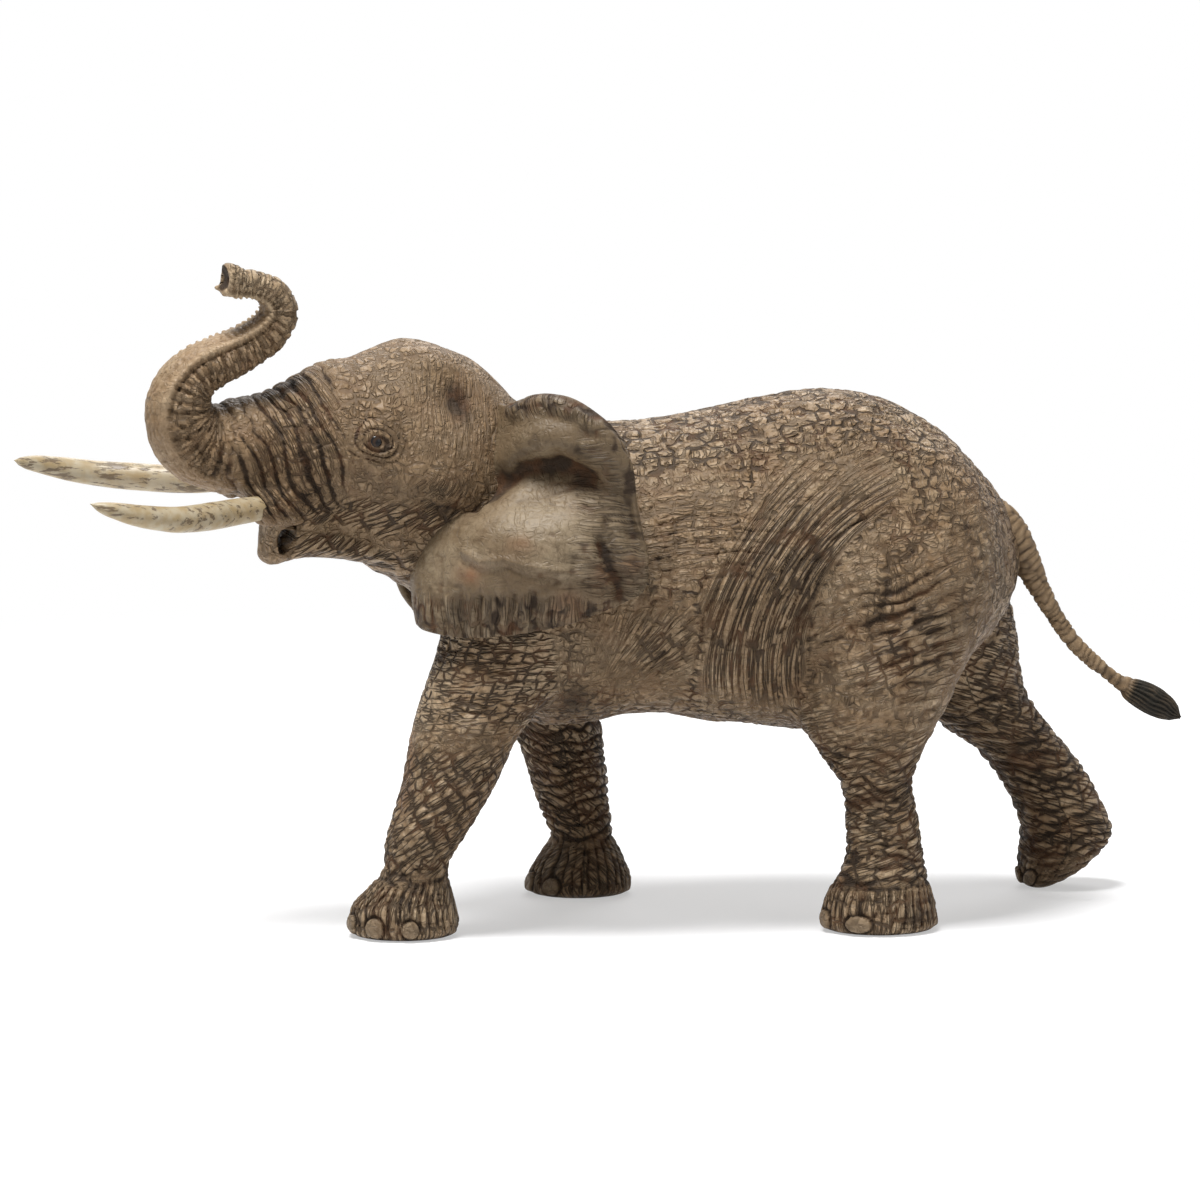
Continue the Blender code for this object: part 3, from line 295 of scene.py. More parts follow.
def smooth_path(points, count):
    """A curve through points at even steps of its length, and the length so far at each step."""
    run = np.concatenate([[0], np.cumsum(np.linalg.norm(np.diff(points[:, :3], axis=0), axis=1))])
    _, dense = smooth_rows(np.column_stack([run, points]), count * 4)
    length = np.concatenate([[0], np.cumsum(np.linalg.norm(np.diff(dense[:, :3], axis=0), axis=1))])
    even = np.linspace(0, length[-1], count)
    return np.column_stack([np.interp(even, length, dense[:, i]) for i in range(dense.shape[1])]), even


def ramp(low, high, x):
    """0 below low, 1 above high, and a smooth S between them."""
    t = np.clip((x - low) / (high - low), 0, 1)
    return t * t * (3 - 2 * t)


def blend_min(a, b, reach):
    """The lesser of two distances, rounded where they are nearer to each other than reach."""
    h = np.clip(0.5 + 0.5 * (b - a) / reach, 0, 1)
    return b + (a - b) * h - reach * h * (1 - h)


def scatter(x, y, z, seed):
    """A value from 0 to 1 that looks random, from whole numbers: multiplied, mixed by shifts and cut off."""
    h = (x * 374761393 + y * 668265263 + z * 1440670441 + seed * 97531) & 0xFFFFFFFF
    h = ((h ^ (h >> 13)) * 1274126177) & 0xFFFFFFFF
    return ((h ^ (h >> 16)) & 0xFFFFFF) / 0xFFFFFF


def cloud(points, size, seed):
    """Soft noise from -1 to 1: random values on a lattice of that size, eased into each other three ways."""
    q = points / size
    cell = np.floor(q).astype(np.int64)
    t = q - cell
    t = t * t * (3 - 2 * t)
    total = 0
    for dx in (0, 1):
        for dy in (0, 1):
            for dz in (0, 1):
                weight = (
                    np.where(dx, t[:, 0], 1 - t[:, 0])
                    * np.where(dy, t[:, 1], 1 - t[:, 1])
                    * np.where(dz, t[:, 2], 1 - t[:, 2])
                )
                total = total + weight * scatter(cell[:, 0] + dx, cell[:, 1] + dy, cell[:, 2] + dz, seed)
    return total * 2 - 1


def cracks(p, q, seed, jitter):
    """How near a place is to the border between two cells, on a lattice of unit cells whose middles are moved
    at random: the distance to the second nearest middle less that to the nearest, 0 on the border."""
    cp, cq = np.floor(p).astype(np.int64), np.floor(q).astype(np.int64)
    near = np.full(p.shape, 9.0)
    next_near = np.full(p.shape, 9.0)
    for dp in (-1, 0, 1):
        for dq in (-1, 0, 1):
            ip, iq = cp + dp, cq + dq
            mp = ip + 0.5 + jitter * (scatter(ip, iq, 0, seed) - 0.5)
            mq = iq + 0.5 + jitter * (scatter(ip, iq, 1, seed) - 0.5)
            d = np.hypot(mp - p, mq - q)
            next_near = np.minimum(next_near, np.maximum(d, near))
            near = np.minimum(near, d)
    return next_near - near


def groove(u, sharp):
    """A narrow furrow at each whole number of u, 1 at its bottom: one less the sine's size, to a power."""
    return (1 - np.abs(np.sin(np.pi * u))) ** sharp


def spot(a, b, middle_a, middle_b, radius_a, radius_b):
    """A soft round patch, 1 in its middle: e to the minus the squared distance in radii."""
    return np.exp(-(((a - middle_a) / radius_a) ** 2) - ((b - middle_b) / radius_b) ** 2)


def photo_place(points):
    """Pixel, right and down, at which the photograph's camera sees a place of the body's frame."""
    cosine, sine = PHOTO_TURN
    across = cosine * points[:, 0] - sine * points[:, 1]
    depth = sine * points[:, 0] + cosine * points[:, 1]
    up = PHOTO_TILT[0] * (points[:, 2] - PHOTO_HEIGHT) + PHOTO_TILT[1] * depth
    size = 1 / (1 + depth / PHOTO_DISTANCE) / PHOTO_PIXEL
    return 600 + across * size, 600 - up * size


def row_at(table, at):
    """The values of a table's rows, read off between them."""
    places, rows = table
    return [np.interp(at, places, column) for column in rows.T]


def unit(vectors):
    """The vectors at a length of 1."""
    return vectors / np.maximum(np.linalg.norm(vectors, axis=-1, keepdims=True), 1e-9)


# Distances to the plain forms


def egg_distance(along, across, rise, table, taper):
    """Signed distance to a lofted egg: the place's radius in units of its section, less 1, over its slope."""

    def radius(s):
        top, bottom, half = row_at(table, s)
        tall = np.maximum((top - bottom) / 2, 0.4)
        up = (rise - (top + bottom) / 2) / tall
        wide = np.maximum(half, 0.4) * (1 - taper * np.clip(up, -1, 1))
        return np.hypot(up, across / wide), up / tall, across / wide / wide

    r, slope_up, slope_across = radius(along)
    slope_along = radius(along + 0.5)[0] - radius(along - 0.5)[0]
    slope_round = np.hypot(slope_up, slope_across) / np.maximum(r, 0.05)
    steepest = slope_round * (1.2 + 20 * np.clip(1.5 - r, 0, 1))
    slope = np.hypot(np.clip(slope_along, -steepest, steepest), slope_round)
    past = np.maximum(table[0][0] - along, along - table[0][-1])
    return np.maximum((r - 1) / np.maximum(slope, 0.01), np.where(past > 0, past, -99.0))


def torso_table():
    at, rows = smooth_rows(TORSO)
    return (at - TORSO_FRONT) * TORSO_LENGTH, np.column_stack([
        BELLY + rows[:, 0] * TORSO_HEIGHT, BELLY + rows[:, 1] * TORSO_HEIGHT, rows[:, 2] * TORSO_WIDTH / 2
    ])


def head_table(table):
    at, rows = smooth_rows(table)
    return at * HEAD_LENGTH, rows * (HEAD_HEIGHT, HEAD_HEIGHT, HEAD_WIDTH / 2)


def leg_table(leg):
    """Height, and there the leg's middle x and y and its half length and half width."""
    stations, side, top_share, stride, length, width = leg
    heights = np.where(
        stations[:, 0] <= 1, stations[:, 0] * BELLY, BELLY + (stations[:, 0] - 1) * TORSO_HEIGHT
    )
    at, rows = smooth_rows(np.column_stack([heights, stations[:, 1:]]))
    return at, np.column_stack([
        (top_share - TORSO_FRONT) * TORSO_LENGTH + rows[:, 0] * stride,
        side * rows[:, 2] * TRACK / 2,
        rows[:, 1] * length / 2,
        rows[:, 3] * width / 2,
    ])


TABLES = {
    "torso": torso_table(),
    "head": head_table(HEAD),
    "lower_jaw": head_table(JAW),
    **{name: leg_table(leg) for name, leg in LEGS.items()},
}


def leg_distance(points, table):
    """Signed distance to a leg: as an egg's, with a flat sole whose edge is rounded."""

    def radius(z):
        x, y, a, b = row_at(table, z)
        dx, dy = (points[:, 0] - x) / a, (points[:, 1] - y) / b
        return np.hypot(dx, dy), dx / a, dy / b

    r, slope_x, slope_y = radius(points[:, 2])
    slope_z = radius(points[:, 2] + 0.5)[0] - radius(points[:, 2] - 0.5)[0]
    slope = np.sqrt(slope_z**2 + (slope_x**2 + slope_y**2) / np.maximum(r, 0.05) ** 2)
    side = (r - 1) / np.maximum(slope, 0.01)
    top = points[:, 2] - table[0][-1]
    return -blend_min(-np.maximum(side, top), points[:, 2], 1.6)


def tusk_path(side, count):
    """Middle line and radius of a tusk, in the body's frame."""
    reach, out, rise, radius = TUSK.T
    lift = FAR_TUSK_LIFT * (1 - reach / 0.667) if side == RIGHT else 0
    line = from_head(
        0.743 * HEAD_LENGTH + reach * TUSK_LENGTH, side * out * TUSK_LENGTH, rise * TUSK_LENGTH + lift
    )
    return smooth_path(np.column_stack([line, radius * TUSK_RADIUS]), count)


def trunk_path(count=48):
    """Middle line and radius of the trunk, in the body's frame, and the length so far."""
    line = from_head(SNOUT[0] + TRUNK[:, 0] * TRUNK_RISE, 0.0, SNOUT[1] + TRUNK[:, 1] * TRUNK_RISE)
    return smooth_path(np.column_stack([line, TRUNK[:, 2] * TRUNK_RADIUS]), count)


def along_bar(points, path, run):
    """Distance to a round bar along a path, the length along it and the place on its middle line: the least
    over the path's straight bits, each with its radius running evenly from end to end."""
    best, at = np.full(len(points), 99.0), np.zeros(len(points))
    foot = np.zeros((len(points), 3))
    for i in range(len(path) - 1):
        start, step = path[i, :3], path[i + 1, :3] - path[i, :3]
        share = np.clip((points - start) @ step / (step @ step), 0, 1)
        middle = start + share[:, None] * step
        d = np.linalg.norm(points - middle, axis=1) - (path[i, 3] + share * (path[i + 1, 3] - path[i, 3]))
        nearer = d < best
        best = np.where(nearer, d, best)
        at = np.where(nearer, run[i] + share * (run[i + 1] - run[i]), at)
        foot[nearer] = middle[nearer]
    return best, at, foot


def swellings(points, spots):
    """Sum of soft round swellings: each is a height times e to the minus squared distance in radii."""
    total = 0.0
    for height, radius, place in spots:
        total = total + height * np.exp(-(((points - np.array(place)) / radius) ** 2).sum(-1))
    return total


def head_spots():
    return [
        (
            height * HEAD_HEIGHT,
            radius * HEAD_HEIGHT,
            (reach * HEAD_LENGTH, out * HEAD_WIDTH / 2, rise * HEAD_HEIGHT),
        )
        for height, radius, reach, out, rise in HEAD_SWELLINGS
    ]


def torso_spots():
    spots = []
    for height, radius, x, z in TORSO_SWELLINGS:
        x, z = (x - TORSO_FRONT) * TORSO_LENGTH, BELLY + z * TORSO_HEIGHT
        top, bottom, half = row_at(TABLES["torso"], x)
        sine = np.clip((z - (top + bottom) / 2) / ((top - bottom) / 2), -1, 1)
        out = half * math.sqrt(1 - sine**2) * (1 - 0.12 * sine)
        spots.append((height * TORSO_WIDTH, radius * TORSO_WIDTH, (x, out, z)))
    return spots


def part_distances(points):
    """Signed distance to each plain form of the skin, with its swellings."""
    reach, across, rise = to_head(points)
    side = np.abs(across)
    by_head = np.column_stack([reach, side, rise])
    folded = np.column_stack([points[:, 0], np.abs(points[:, 1]), points[:, 2]])
    torso = egg_distance(points[:, 0], points[:, 1], points[:, 2], TABLES["torso"], 0.12)
    head = egg_distance(reach, across, rise, TABLES["head"], 0.10)
    er, ea, ez = EYE_PLACE
    socket = 0.9 * np.exp(-(((reach - er) / 1.7) ** 2 + ((side - ea) / 3.0) ** 2 + ((rise - ez) / 1.25) ** 2))
    lids = 0.75 * np.exp(-(((np.hypot((reach - er) * 0.85, rise - ez) - 2.1) / 0.75) ** 2)) * (side > 6)
    for mirror in (LEFT, RIGHT):
        line, run = tusk_path(mirror, 40)
        back = line[0, :3] - (line[4, :3] - line[0, :3]) * 1.8
        sheath = np.vstack([[*back, 4.7], [*line[0, :3], 4.3], [*line[4, :3], 3.8]])
        head = blend_min(head, along_bar(points, sheath, np.arange(3.0))[0], 2.5)
    head = head - swellings(by_head, head_spots()) + socket - lids
    found = {
        "torso": torso - swellings(folded, torso_spots()),
        "head": head,
        "lower_jaw": egg_distance(reach, across, rise, TABLES["lower_jaw"], 0.10),
    }
    for name in LEGS:
        found[name] = leg_distance(points, TABLES[name])
    path, run = trunk_path()
    trunk, at, _ = along_bar(points, path, run)
    end, ahead = path[-1, :3], unit(path[-1, :3] - path[-2, :3])
    past = np.where(at > run[-1] - 6, (points - end) @ ahead, -9.0)
    found["trunk"] = -blend_min(-trunk, -past, 0.8)
    return found


def nostrils(points):
    """Distance to the hollow of the trunk's tip, a shallow dish with two bores, and to the finger above it."""
    path, _ = trunk_path()
    end, ahead = path[-1, :3], unit(path[-1, :3] - path[-2, :3])
    across = HEAD_TURN @ np.array((0.0, 1.0, 0.0))
    up = np.cross(across, ahead)
    up = up * np.sign(up[2])
    dish = np.linalg.norm(points - end - ahead * 1.6, axis=1) - 2.7
    hollow = dish
    for mirror in (LEFT, RIGHT):
        mouth = end + across * mirror * 1.15 - up * 0.35
        bore = np.vstack([[*(mouth + ahead * 2), 1.0], [*(mouth - ahead * 1.8), 0.55]])
        hollow = blend_min(hollow, along_bar(points, bore, np.arange(2.0))[0], 0.5)
    finger = np.vstack([[*(end + up * 2.3 - ahead * 1.0), 1.2], [*(end + up * 2.6 + ahead * 1.3), 0.75]])
    return hollow, along_bar(points, finger, np.arange(2.0))[0]


# painted shade on the near side: its strength, and the middle and half size of each patch in pixels
SOFT_SHADES = (
    (0.34, (356, 452, 13, 24)), (0.38, (468, 505, 26, 14)), (0.30, (330, 505, 34, 12)),
    (0.30, (428, 478, 14, 12)), (0.40, (662, 520, 16, 70)), (0.34, (600, 650, 40, 26)),
    (0.38, (812, 610, 18, 70)), (0.34, (500, 450, 12, 30)), (0.30, (905, 620, 36, 40)),
    (0.26, (230, 470, 26, 18)), (0.30, (440, 655, 70, 12)), (0.44, (392, 493, 46, 12)),
    (0.45, (498, 472, 9, 18)),
)


def mouth_line(rise):
    """Reach of the fold behind the lower lip, which leans forward downwards."""
    return 37.1 + 0.33 * (-6.2 - rise)


def skin_field(points):
    """The whole skin: plain forms rounded into each other, less the mouth and nostrils."""
    d = part_distances(points)
    reach, across, rise = to_head(points)
    head = blend_min(d["head"], d["lower_jaw"], 4.5)
    head = blend_min(head, d["trunk"], 3.5)
    # the open mouth: a slot behind the lower lip that narrows downwards
    share = np.clip((-5.6 - rise) / 5.0, 0, 1)
    half_gap = 0.62 - 0.45 * share + 0.7 * ramp(8, 4, np.abs(across))
    mouth = np.hypot(reach - mouth_line(rise), np.maximum(rise + 5.6, 0) * 1.4) - half_gap
    mouth = np.maximum(mouth, -11.2 - rise)
    head = -blend_min(-head, mouth, 0.7)
    hollow, finger = nostrils(points)
    head = -blend_min(-blend_min(head, finger, 1.2), hollow, 0.5)
    skin = blend_min(d["torso"], head, 5.0)
    for name in LEGS:
        skin = blend_min(skin, d[name], 4.5)
    return skin


def box_net(field, low, high, pitch):
    """Points and quads of a field's zero surface, by surface nets: each cell that the surface crosses gets a
    point, the mean of the crossings on its edges, and each crossed edge joins the four cells round it."""
    sizes = np.ceil((high - low) / pitch).astype(int) + 1
    axes = [low[i] + pitch * np.arange(sizes[i]) for i in range(3)]
    lattice = np.stack(np.meshgrid(*axes, indexing="ij"), -1).reshape(-1, 3)
    values = np.concatenate([field(block) for block in np.array_split(lattice, 8)]).reshape(sizes)
    inside = values < 0
    cells = sizes - 1
    corners = [(i, j, k) for i in (0, 1) for j in (0, 1) for k in (0, 1)]
    part = lambda a, c: a[c[0]:c[0] + cells[0], c[1]:c[1] + cells[1], c[2]:c[2] + cells[2]]
    count = sum(part(inside, c).astype(np.int8) for c in corners)
    crossed = (count > 0) & (count < 8)
    index = np.full(cells, -1)
    index[crossed] = np.arange(crossed.sum())
    at = {c: part(values, c)[crossed] for c in corners}
    total, hits = np.zeros((crossed.sum(), 3)), np.zeros(crossed.sum())
    for a in corners:
        for axis in range(3):
            if a[axis]:
                continue
            b = tuple(1 if i == axis else a[i] for i in range(3))
            cut = (at[a] < 0) != (at[b] < 0)
            t = np.where(cut, at[a] / np.where(cut, at[a] - at[b], 1), 0)
            step = np.array(a, float)[None, :] + t[:, None] * (np.array(b) - np.array(a))[None, :]
            total += np.where(cut[:, None], step, 0)
            hits += cut
    points = low + pitch * (np.argwhere(crossed) + total / hits[:, None])
    quads = []
    for axis in range(3):
        one, two = (axis + 1) % 3, (axis + 2) % 3
        ahead = np.roll(inside, -1, axis)
        cut = inside != ahead
        keep = [slice(1, -1)] * 3
        keep[axis] = slice(0, -1)
        mask = np.zeros_like(cut)
        mask[tuple(keep)] = cut[tuple(keep)]
        spots = np.argwhere(mask)
        step_one, step_two = np.eye(3, dtype=int)[one], np.eye(3, dtype=int)[two]
        ring = [spots - step_one - step_two, spots - step_two, spots, spots - step_one]
        ids = np.stack([index[tuple(r.T)] for r in ring], 1)
        flip = ~inside[tuple(spots.T)]
        ids[flip] = ids[flip][:, ::-1]
        quads.append(ids)
    return points, np.concatenate(quads)


# Meshes and attributes


def new_mesh(name, points, quads):
    """A smooth-shaded mesh from arrays of points and of faces with as many corners each."""
    mesh = bpy.data.meshes.new(name)
    corners = quads.shape[1]
    mesh.vertices.add(len(points))
    mesh.vertices.foreach_set("co", np.ascontiguousarray(points, np.float32).ravel())
    mesh.loops.add(quads.size)
    mesh.loops.foreach_set("vertex_index", quads.astype(np.int32).ravel())
    mesh.polygons.add(len(quads))
    mesh.polygons.foreach_set("loop_start", np.arange(0, quads.size, corners, dtype=np.int32))
    mesh.polygons.foreach_set("use_smooth", np.ones(len(quads), bool))
    mesh.update(calc_edges=True)
    return mesh


def read_mesh(mesh):
    """Points, normals and quads of a mesh, as arrays."""
    points = np.empty(len(mesh.vertices) * 3, np.float32)
    normals = np.empty(len(mesh.vertices) * 3, np.float32)
    loops = np.empty(len(mesh.loops), np.int32)
    mesh.vertices.foreach_get("co", points)
    mesh.vertex_normals.foreach_get("vector", normals)
    mesh.loops.foreach_get("vertex_index", loops)
    return points.reshape(-1, 3).astype(float), normals.reshape(-1, 3).astype(float), loops.reshape(-1, 4)


def subdivided(points, quads, levels):
    """The same surface after rounding by Catmull-Clark subdivision."""
    obj = bpy.data.objects.new("rounding", new_mesh("rounding", points, quads))
    bpy.context.scene.collection.objects.link(obj)
    step = obj.modifiers.new("round", "SUBSURF")
    step.levels = step.render_levels = levels
    graph = bpy.context.evaluated_depsgraph_get()
    mesh = bpy.data.meshes.new_from_object(obj.evaluated_get(graph))
    result = read_mesh(mesh)
    bpy.data.objects.remove(obj)
    bpy.data.meshes.remove(mesh)
    return result


def grid_quads(rows, columns, closed):
    """Faces of a grid of points, row by row; closed joins the last column to the first."""
    i = np.arange(rows - 1)[:, None]
    j = np.arange(columns if closed else columns - 1)[None, :]
    k = (j + 1) % columns
    here, below = i * columns, (i + 1) * columns
    return np.stack(np.broadcast_arrays(here + j, here + k, below + k, below + j), -1).reshape(-1, 4)


def set_values(mesh, values):
    """Stores the pattern of a piece as attributes of its points."""
    for name, data in values.items():
        kind, field = ("FLOAT_VECTOR", "vector") if data.ndim == 2 else ("FLOAT", "value")
        layer = mesh.attributes.new(name, kind, "POINT")
        layer.data.foreach_set(field, np.ascontiguousarray(data, np.float32).ravel())


def finish_piece(name, mesh, material, node):
    """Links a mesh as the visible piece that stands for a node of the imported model."""
    obj = bpy.data.objects.new(name, mesh)
    bpy.context.scene.collection.objects.link(obj)
    mesh.materials.append(material)
    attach(obj, "root")
    if node:
        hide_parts(node)
    return obj


def capped(points, quads, values):
    """Closes each open rim of a patch with a fan of triangles to a point in the middle of the rim."""
    edges = np.stack([quads, np.roll(quads, -1, 1)], -1).reshape(-1, 2)
    low, high = edges.min(1), edges.max(1)
    key, which = np.unique(low * len(points) + high, return_inverse=True)
    # how often an edge runs from its lower point to its higher one, less the times it runs back
    excess = np.bincount(which.ravel(), np.where(edges[:, 0] < edges[:, 1], 1, -1)).astype(int)
    ends = np.column_stack([key // len(points), key % len(points)])
    ends[excess < 0] = ends[excess < 0][:, ::-1]
    rim = np.repeat(ends, np.abs(excess), axis=0)
    follow = {}
    for a, b in rim.tolist():
        follow.setdefault(b, []).append(a)
    faces, extra = [quads[:, [0, 1, 2]], quads[:, [0, 2, 3]]], []
    middle_of_all = points.mean(0)
    for start in list(follow):
        if not follow[start]:
            continue
        loop, at = [start], follow[start].pop()
        while at != start:
            loop.append(at)
            at = follow[at].pop()
        middle = points[loop].mean(0)
        middle = middle + unit(middle_of_all - middle) * CAP_DEPTH
        extra.append(middle)
        apex = len(points) + len(extra) - 1
        loop = np.array(loop)
        faces.append(np.column_stack([loop, np.roll(loop, -1), np.full(len(loop), apex)]))
    if extra:
        points = np.concatenate([points, extra])
        values = {k: np.concatenate([v, np.zeros((len(extra),) + v.shape[1:])]) for k, v in values.items()}
    return points, np.concatenate(faces), values, np.unique(rim)


# The skin's folds and cracks


def near_view(points):
    """Photograph pixel of each place, with the far side folded onto the near one."""
    folded = points.copy()
    folded[:, 1] = -np.abs(folded[:, 1])
    return photo_place(folded)


def web(points, size, seed, width=0.24, turn=0.0):
    """Wrinkles that fork and fade: 1 where soft noise passes 0, with cells of that size along x, y and z,
    turned in the upright plane, and fading in and out by a coarser noise."""
    c, s = math.cos(turn), math.sin(turn)
    x, y, z = points.T
    turned = np.column_stack([x * c + z * s, y, z * c - x * s])
    line = np.exp(-((cloud(turned / size, 1.0, seed) / width) ** 2))
    return line * ramp(-0.45, 0.35, cloud(turned / size, 1.9, seed + 100))


def stroke(u, v, knots, width):
    """1 along a drawn line of pixels and fading to both sides: e to the minus squared distance in widths."""
    best = np.full(u.shape, 1e9)
    for (u0, v0), (u1, v1) in zip(knots, knots[1:]):
        du, dv = u1 - u0, v1 - v0
        share = np.clip(((u - u0) * du + (v - v0) * dv) / (du * du + dv * dv), 0, 1)
        best = np.minimum(best, (u - u0 - share * du) ** 2 + (v - v0 - share * dv) ** 2)
    return np.exp(-best / width**2)


def strongest(choices):
    """Of nets of cells, each given as weight and two counts of cells, the strongest at each place, fading out
    where two are alike."""
    weights = np.stack([np.broadcast_to(c[0], choices[0][1].shape) for c in choices])
    order = np.sort(weights, axis=0)
    best = weights.argmax(0)
    p, q = (np.choose(best, [c[i] for c in choices]) for i in (1, 2))
    return p, q, np.clip(order[-1], 0, 1) * ramp(0.0, 0.3, order[-1] - order[-2])


# the point of the photograph round which the folds before the thigh curve, and their spacing, in pixels
FOLD_CENTRE, FOLD_SPACING = (985, 660), 13.5


def torso_pattern(points, warp):
    """Depth of the torso's furrows, and its counts of cells: a web of short cracks, long folds that curve down
    before the thigh, cracks on the thigh, soft ribs behind the shoulder and creases round the armpit."""
    u, v = near_view(points)
    w1, w2, w3 = warp
    upright = web(points, (1.5, 3.0, 3.6), 61, 0.18)
    level = web(points, (3.6, 3.0, 1.25), 62, 0.18, 0.12)
    depth = 0.19 * upright + 0.21 * level

    # long folds before the thigh
    away = np.hypot(u - FOLD_CENTRE[0], v - FOLD_CENTRE[1])
    spread = 1 + 0.10 * ramp(480, 700, v)
    in_fold = ramp(168, 186, away) * (1 - ramp(262, 320, away))
    in_fold = in_fold * ramp(400, 540, v + 14 * w2) * (1 - ramp(680, 730, v + 10 * w1))
    in_fold = in_fold * ramp(930, 870, u)
    fold = groove(away / spread / FOLD_SPACING + 0.42 * w1 + 0.22 * w2 + 0.2, 2.2)
    thin = groove(away / spread / FOLD_SPACING * 2.6 + 0.8 * w2 + 0.5 * w1, 2.5)
    depth = depth * (1 - 0.45 * in_fold) + in_fold * (0.62 * fold * (0.65 + 0.35 * w3) + 0.20 * thin)
    # soft ribs that curve from the ear's corner
    rib = spot(u, v, 705, 535, 95, 60)
    depth = depth + 0.40 * rib * groove((v - 0.0016 * (u - 720) ** 2) / 13.5 + 0.6 * w2 + 0.2 * w1, 3)
    # folds under the back, slanting down to the front
    back = spot(u, v, 780, 450, 150, 34)
    depth = depth + 0.34 * back * groove((v * 0.90 + u * 0.42) / 15 + 0.8 * w1 + 0.3 * w2, 3)
    # blocks on the thigh
    block = thigh_share(u, v)
    depth = depth + block * thigh_cracks(u, v, points, w1, w2)
    # creases that spread from the armpit, and along the belly
    turn = np.arctan2(v - 715, u - 585)
    belly = spot(u, v, 660, 645, 75, 55)
    depth = depth + 0.40 * belly * groove(turn * 10 + 0.8 * w1 + 0.3 * w2, 3) * ramp(-0.7, 0.3, w3)
    low = spot(u, v, 720, 680, 120, 24)
    depth = depth + 0.15 * low * web(points, (5.0, 3.0, 1.0), 66)
    angle = np.arctan2(v - FOLD_CENTRE[1], FOLD_CENTRE[0] - u)
    return depth, strongest([
        (0.05, points[:, 0] / 3.0, points[:, 2] / 2.0),
        (in_fold, angle * 3.6, away / spread / 7.5),
        (block, *thigh_cells(u, v)),
        (0.9 * belly, np.hypot(u - 585, v - 715) / 24, turn * 11),
        (0.8 * rib, u / 20, (v - 0.0016 * (u - 720) ** 2) / 10),
    ])


def thigh_share(u, v):
    return np.maximum(spot(u, v, 900, 645, 95, 90), 0.8 * spot(u, v, 930, 560, 75, 65))


def thigh_cells(u, v):
    """Counts of the thigh's cells, along cracks that rise to the rear and across them."""
    slope = 0.36
    return (u * math.cos(slope) - v * math.sin(slope)) / 17, (u * math.sin(slope) + v * math.cos(slope)) / 12


def thigh_cracks(u, v, points, w1, w2):
    """Depth of the thigh's cracks: long ones that rise to the rear, deeper in the middle, and upright ones."""
    p, q = thigh_cells(u, v)
    broken = ramp(-0.5, 0.3, cloud(points, 3.2, 65))
    long_cracks = groove(q * 0.86 + 0.45 * w1 + 0.25 * w2, 1.2) * broken
    upright = groove(p * 1.05 + 0.15 * q + 0.5 * w2 + 0.3 * w1, 1.1) * ramp(0.3, -0.5, cloud(points, 2.4, 67))
    return (0.42 + 0.30 * spot(u, v, 915, 615, 45, 45)) * long_cracks + 0.26 * upright


def leg_pattern(points, name, warp):
    """Depth of a leg's furrows, and its counts of cells: blocks above, a slanting lattice and rings below, and
    upright pleats on the foot."""
    x0, y0, a, b = row_at(TABLES[name], points[:, 2])
    turn = np.arctan2((points[:, 0] - x0) / a, LEGS[name][1] * (points[:, 1] - y0) / b)
    z = points[:, 2]
    arc = turn * (a + b) / 2
    around = 30 if "front" in name else 34
    q = turn * around / (2 * np.pi)
    w1, w2, w3 = warp
    ankle = 10.5 if "front" in name else 8.5
    low = 1 - ramp(30, 40, z)
    rings = groove(z / 1.95 + 0.85 * w1 + 0.4 * w2 + 0.45 * np.sin(turn * 2 + 1), 1.6)
    weave = web(points, (3.4, 3.4, 0.95), 72, 0.25)
    if name == "front_left_leg":
        blocks = web(points, (4.0, 4.0, 1.3), 75, 0.22, -0.2)
        slanting = np.maximum(
            groove((0.9 * arc + z) / 3.1 + 0.35 * w1 + 0.2 * w2, 1.3),
            groove((0.9 * arc - z) / 3.1 + 0.35 * w2, 1.3),
        )
        body = 0.34 * blocks * (1 - low) + 0.26 * rings * (1 - ramp(10, 20, z)) + 0.12 * weave * low
        smooth = spot(points[:, 0], z, -7, 36, 5, 14)
        body = body + 0.36 * slanting * low * (1 - smooth) * (0.7 + 0.3 * w3)
        nets = [
            (1 - low, arc / 2.3, z / 1.75),
            (low * (1 - smooth), (0.9 * arc + z) / 3.1, (0.9 * arc - z) / 3.1),
            (smooth, z / 6, arc / 1.5 - z / 9),
        ]
    elif name == "front_right_leg":
        body = 0.80 * rings * (0.8 + 0.2 * w3) + 0.18 * weave
        nets = [(1.0 + 0 * z, (0.8 * arc + z) / 2.7, (0.8 * arc - z) / 2.7), (0 * z, arc / 3, z / 1.7)]
    else:
        tilt = web(points, (3.8, 3.8, 1.25), 77, 0.25, 0.45)
        body = 0.62 * rings * (0.35 + 0.65 * low) * (0.7 + 0.3 * w3) + 0.18 * weave + 0.26 * tilt
        u, v = near_view(points)
        block = thigh_share(u, v) * (name == "hind_left_leg")
        body = body * (1 - block) + block * thigh_cracks(u, v, points, w1, w2)
        nets = [(block, *thigh_cells(u, v)), (1 - block, (arc + 0.5 * z) / 4.2, (z - 0.30 * arc) / 1.75)]
    foot = 1 - ramp(ankle - 2.0, ankle + 1.5, z + 1.2 * w2)
    if name == "hind_right_leg":
        foot = (1 - ramp(3.0, 8.0, z)) * 0.6
    pleats = groove(q / 1.05 + 0.75 * w1 + 0.35 * w2, 2.2) * ramp(0.6, 2.4, z) * (0.6 + 0.4 * w3)
    crease = np.exp(-(((z - ankle - 0.9 * w2) / 0.45) ** 2)) * (name != "hind_right_leg")
    nets = [(weight * (1 - foot), p, r) for weight, p, r in nets] + [(foot * 0.9, z / 3.4, arc / 1.5)]
    return body * (1 - foot) + (0.70 * pleats + 0.22 * weave) * foot + 0.24 * crease, strongest(nets)


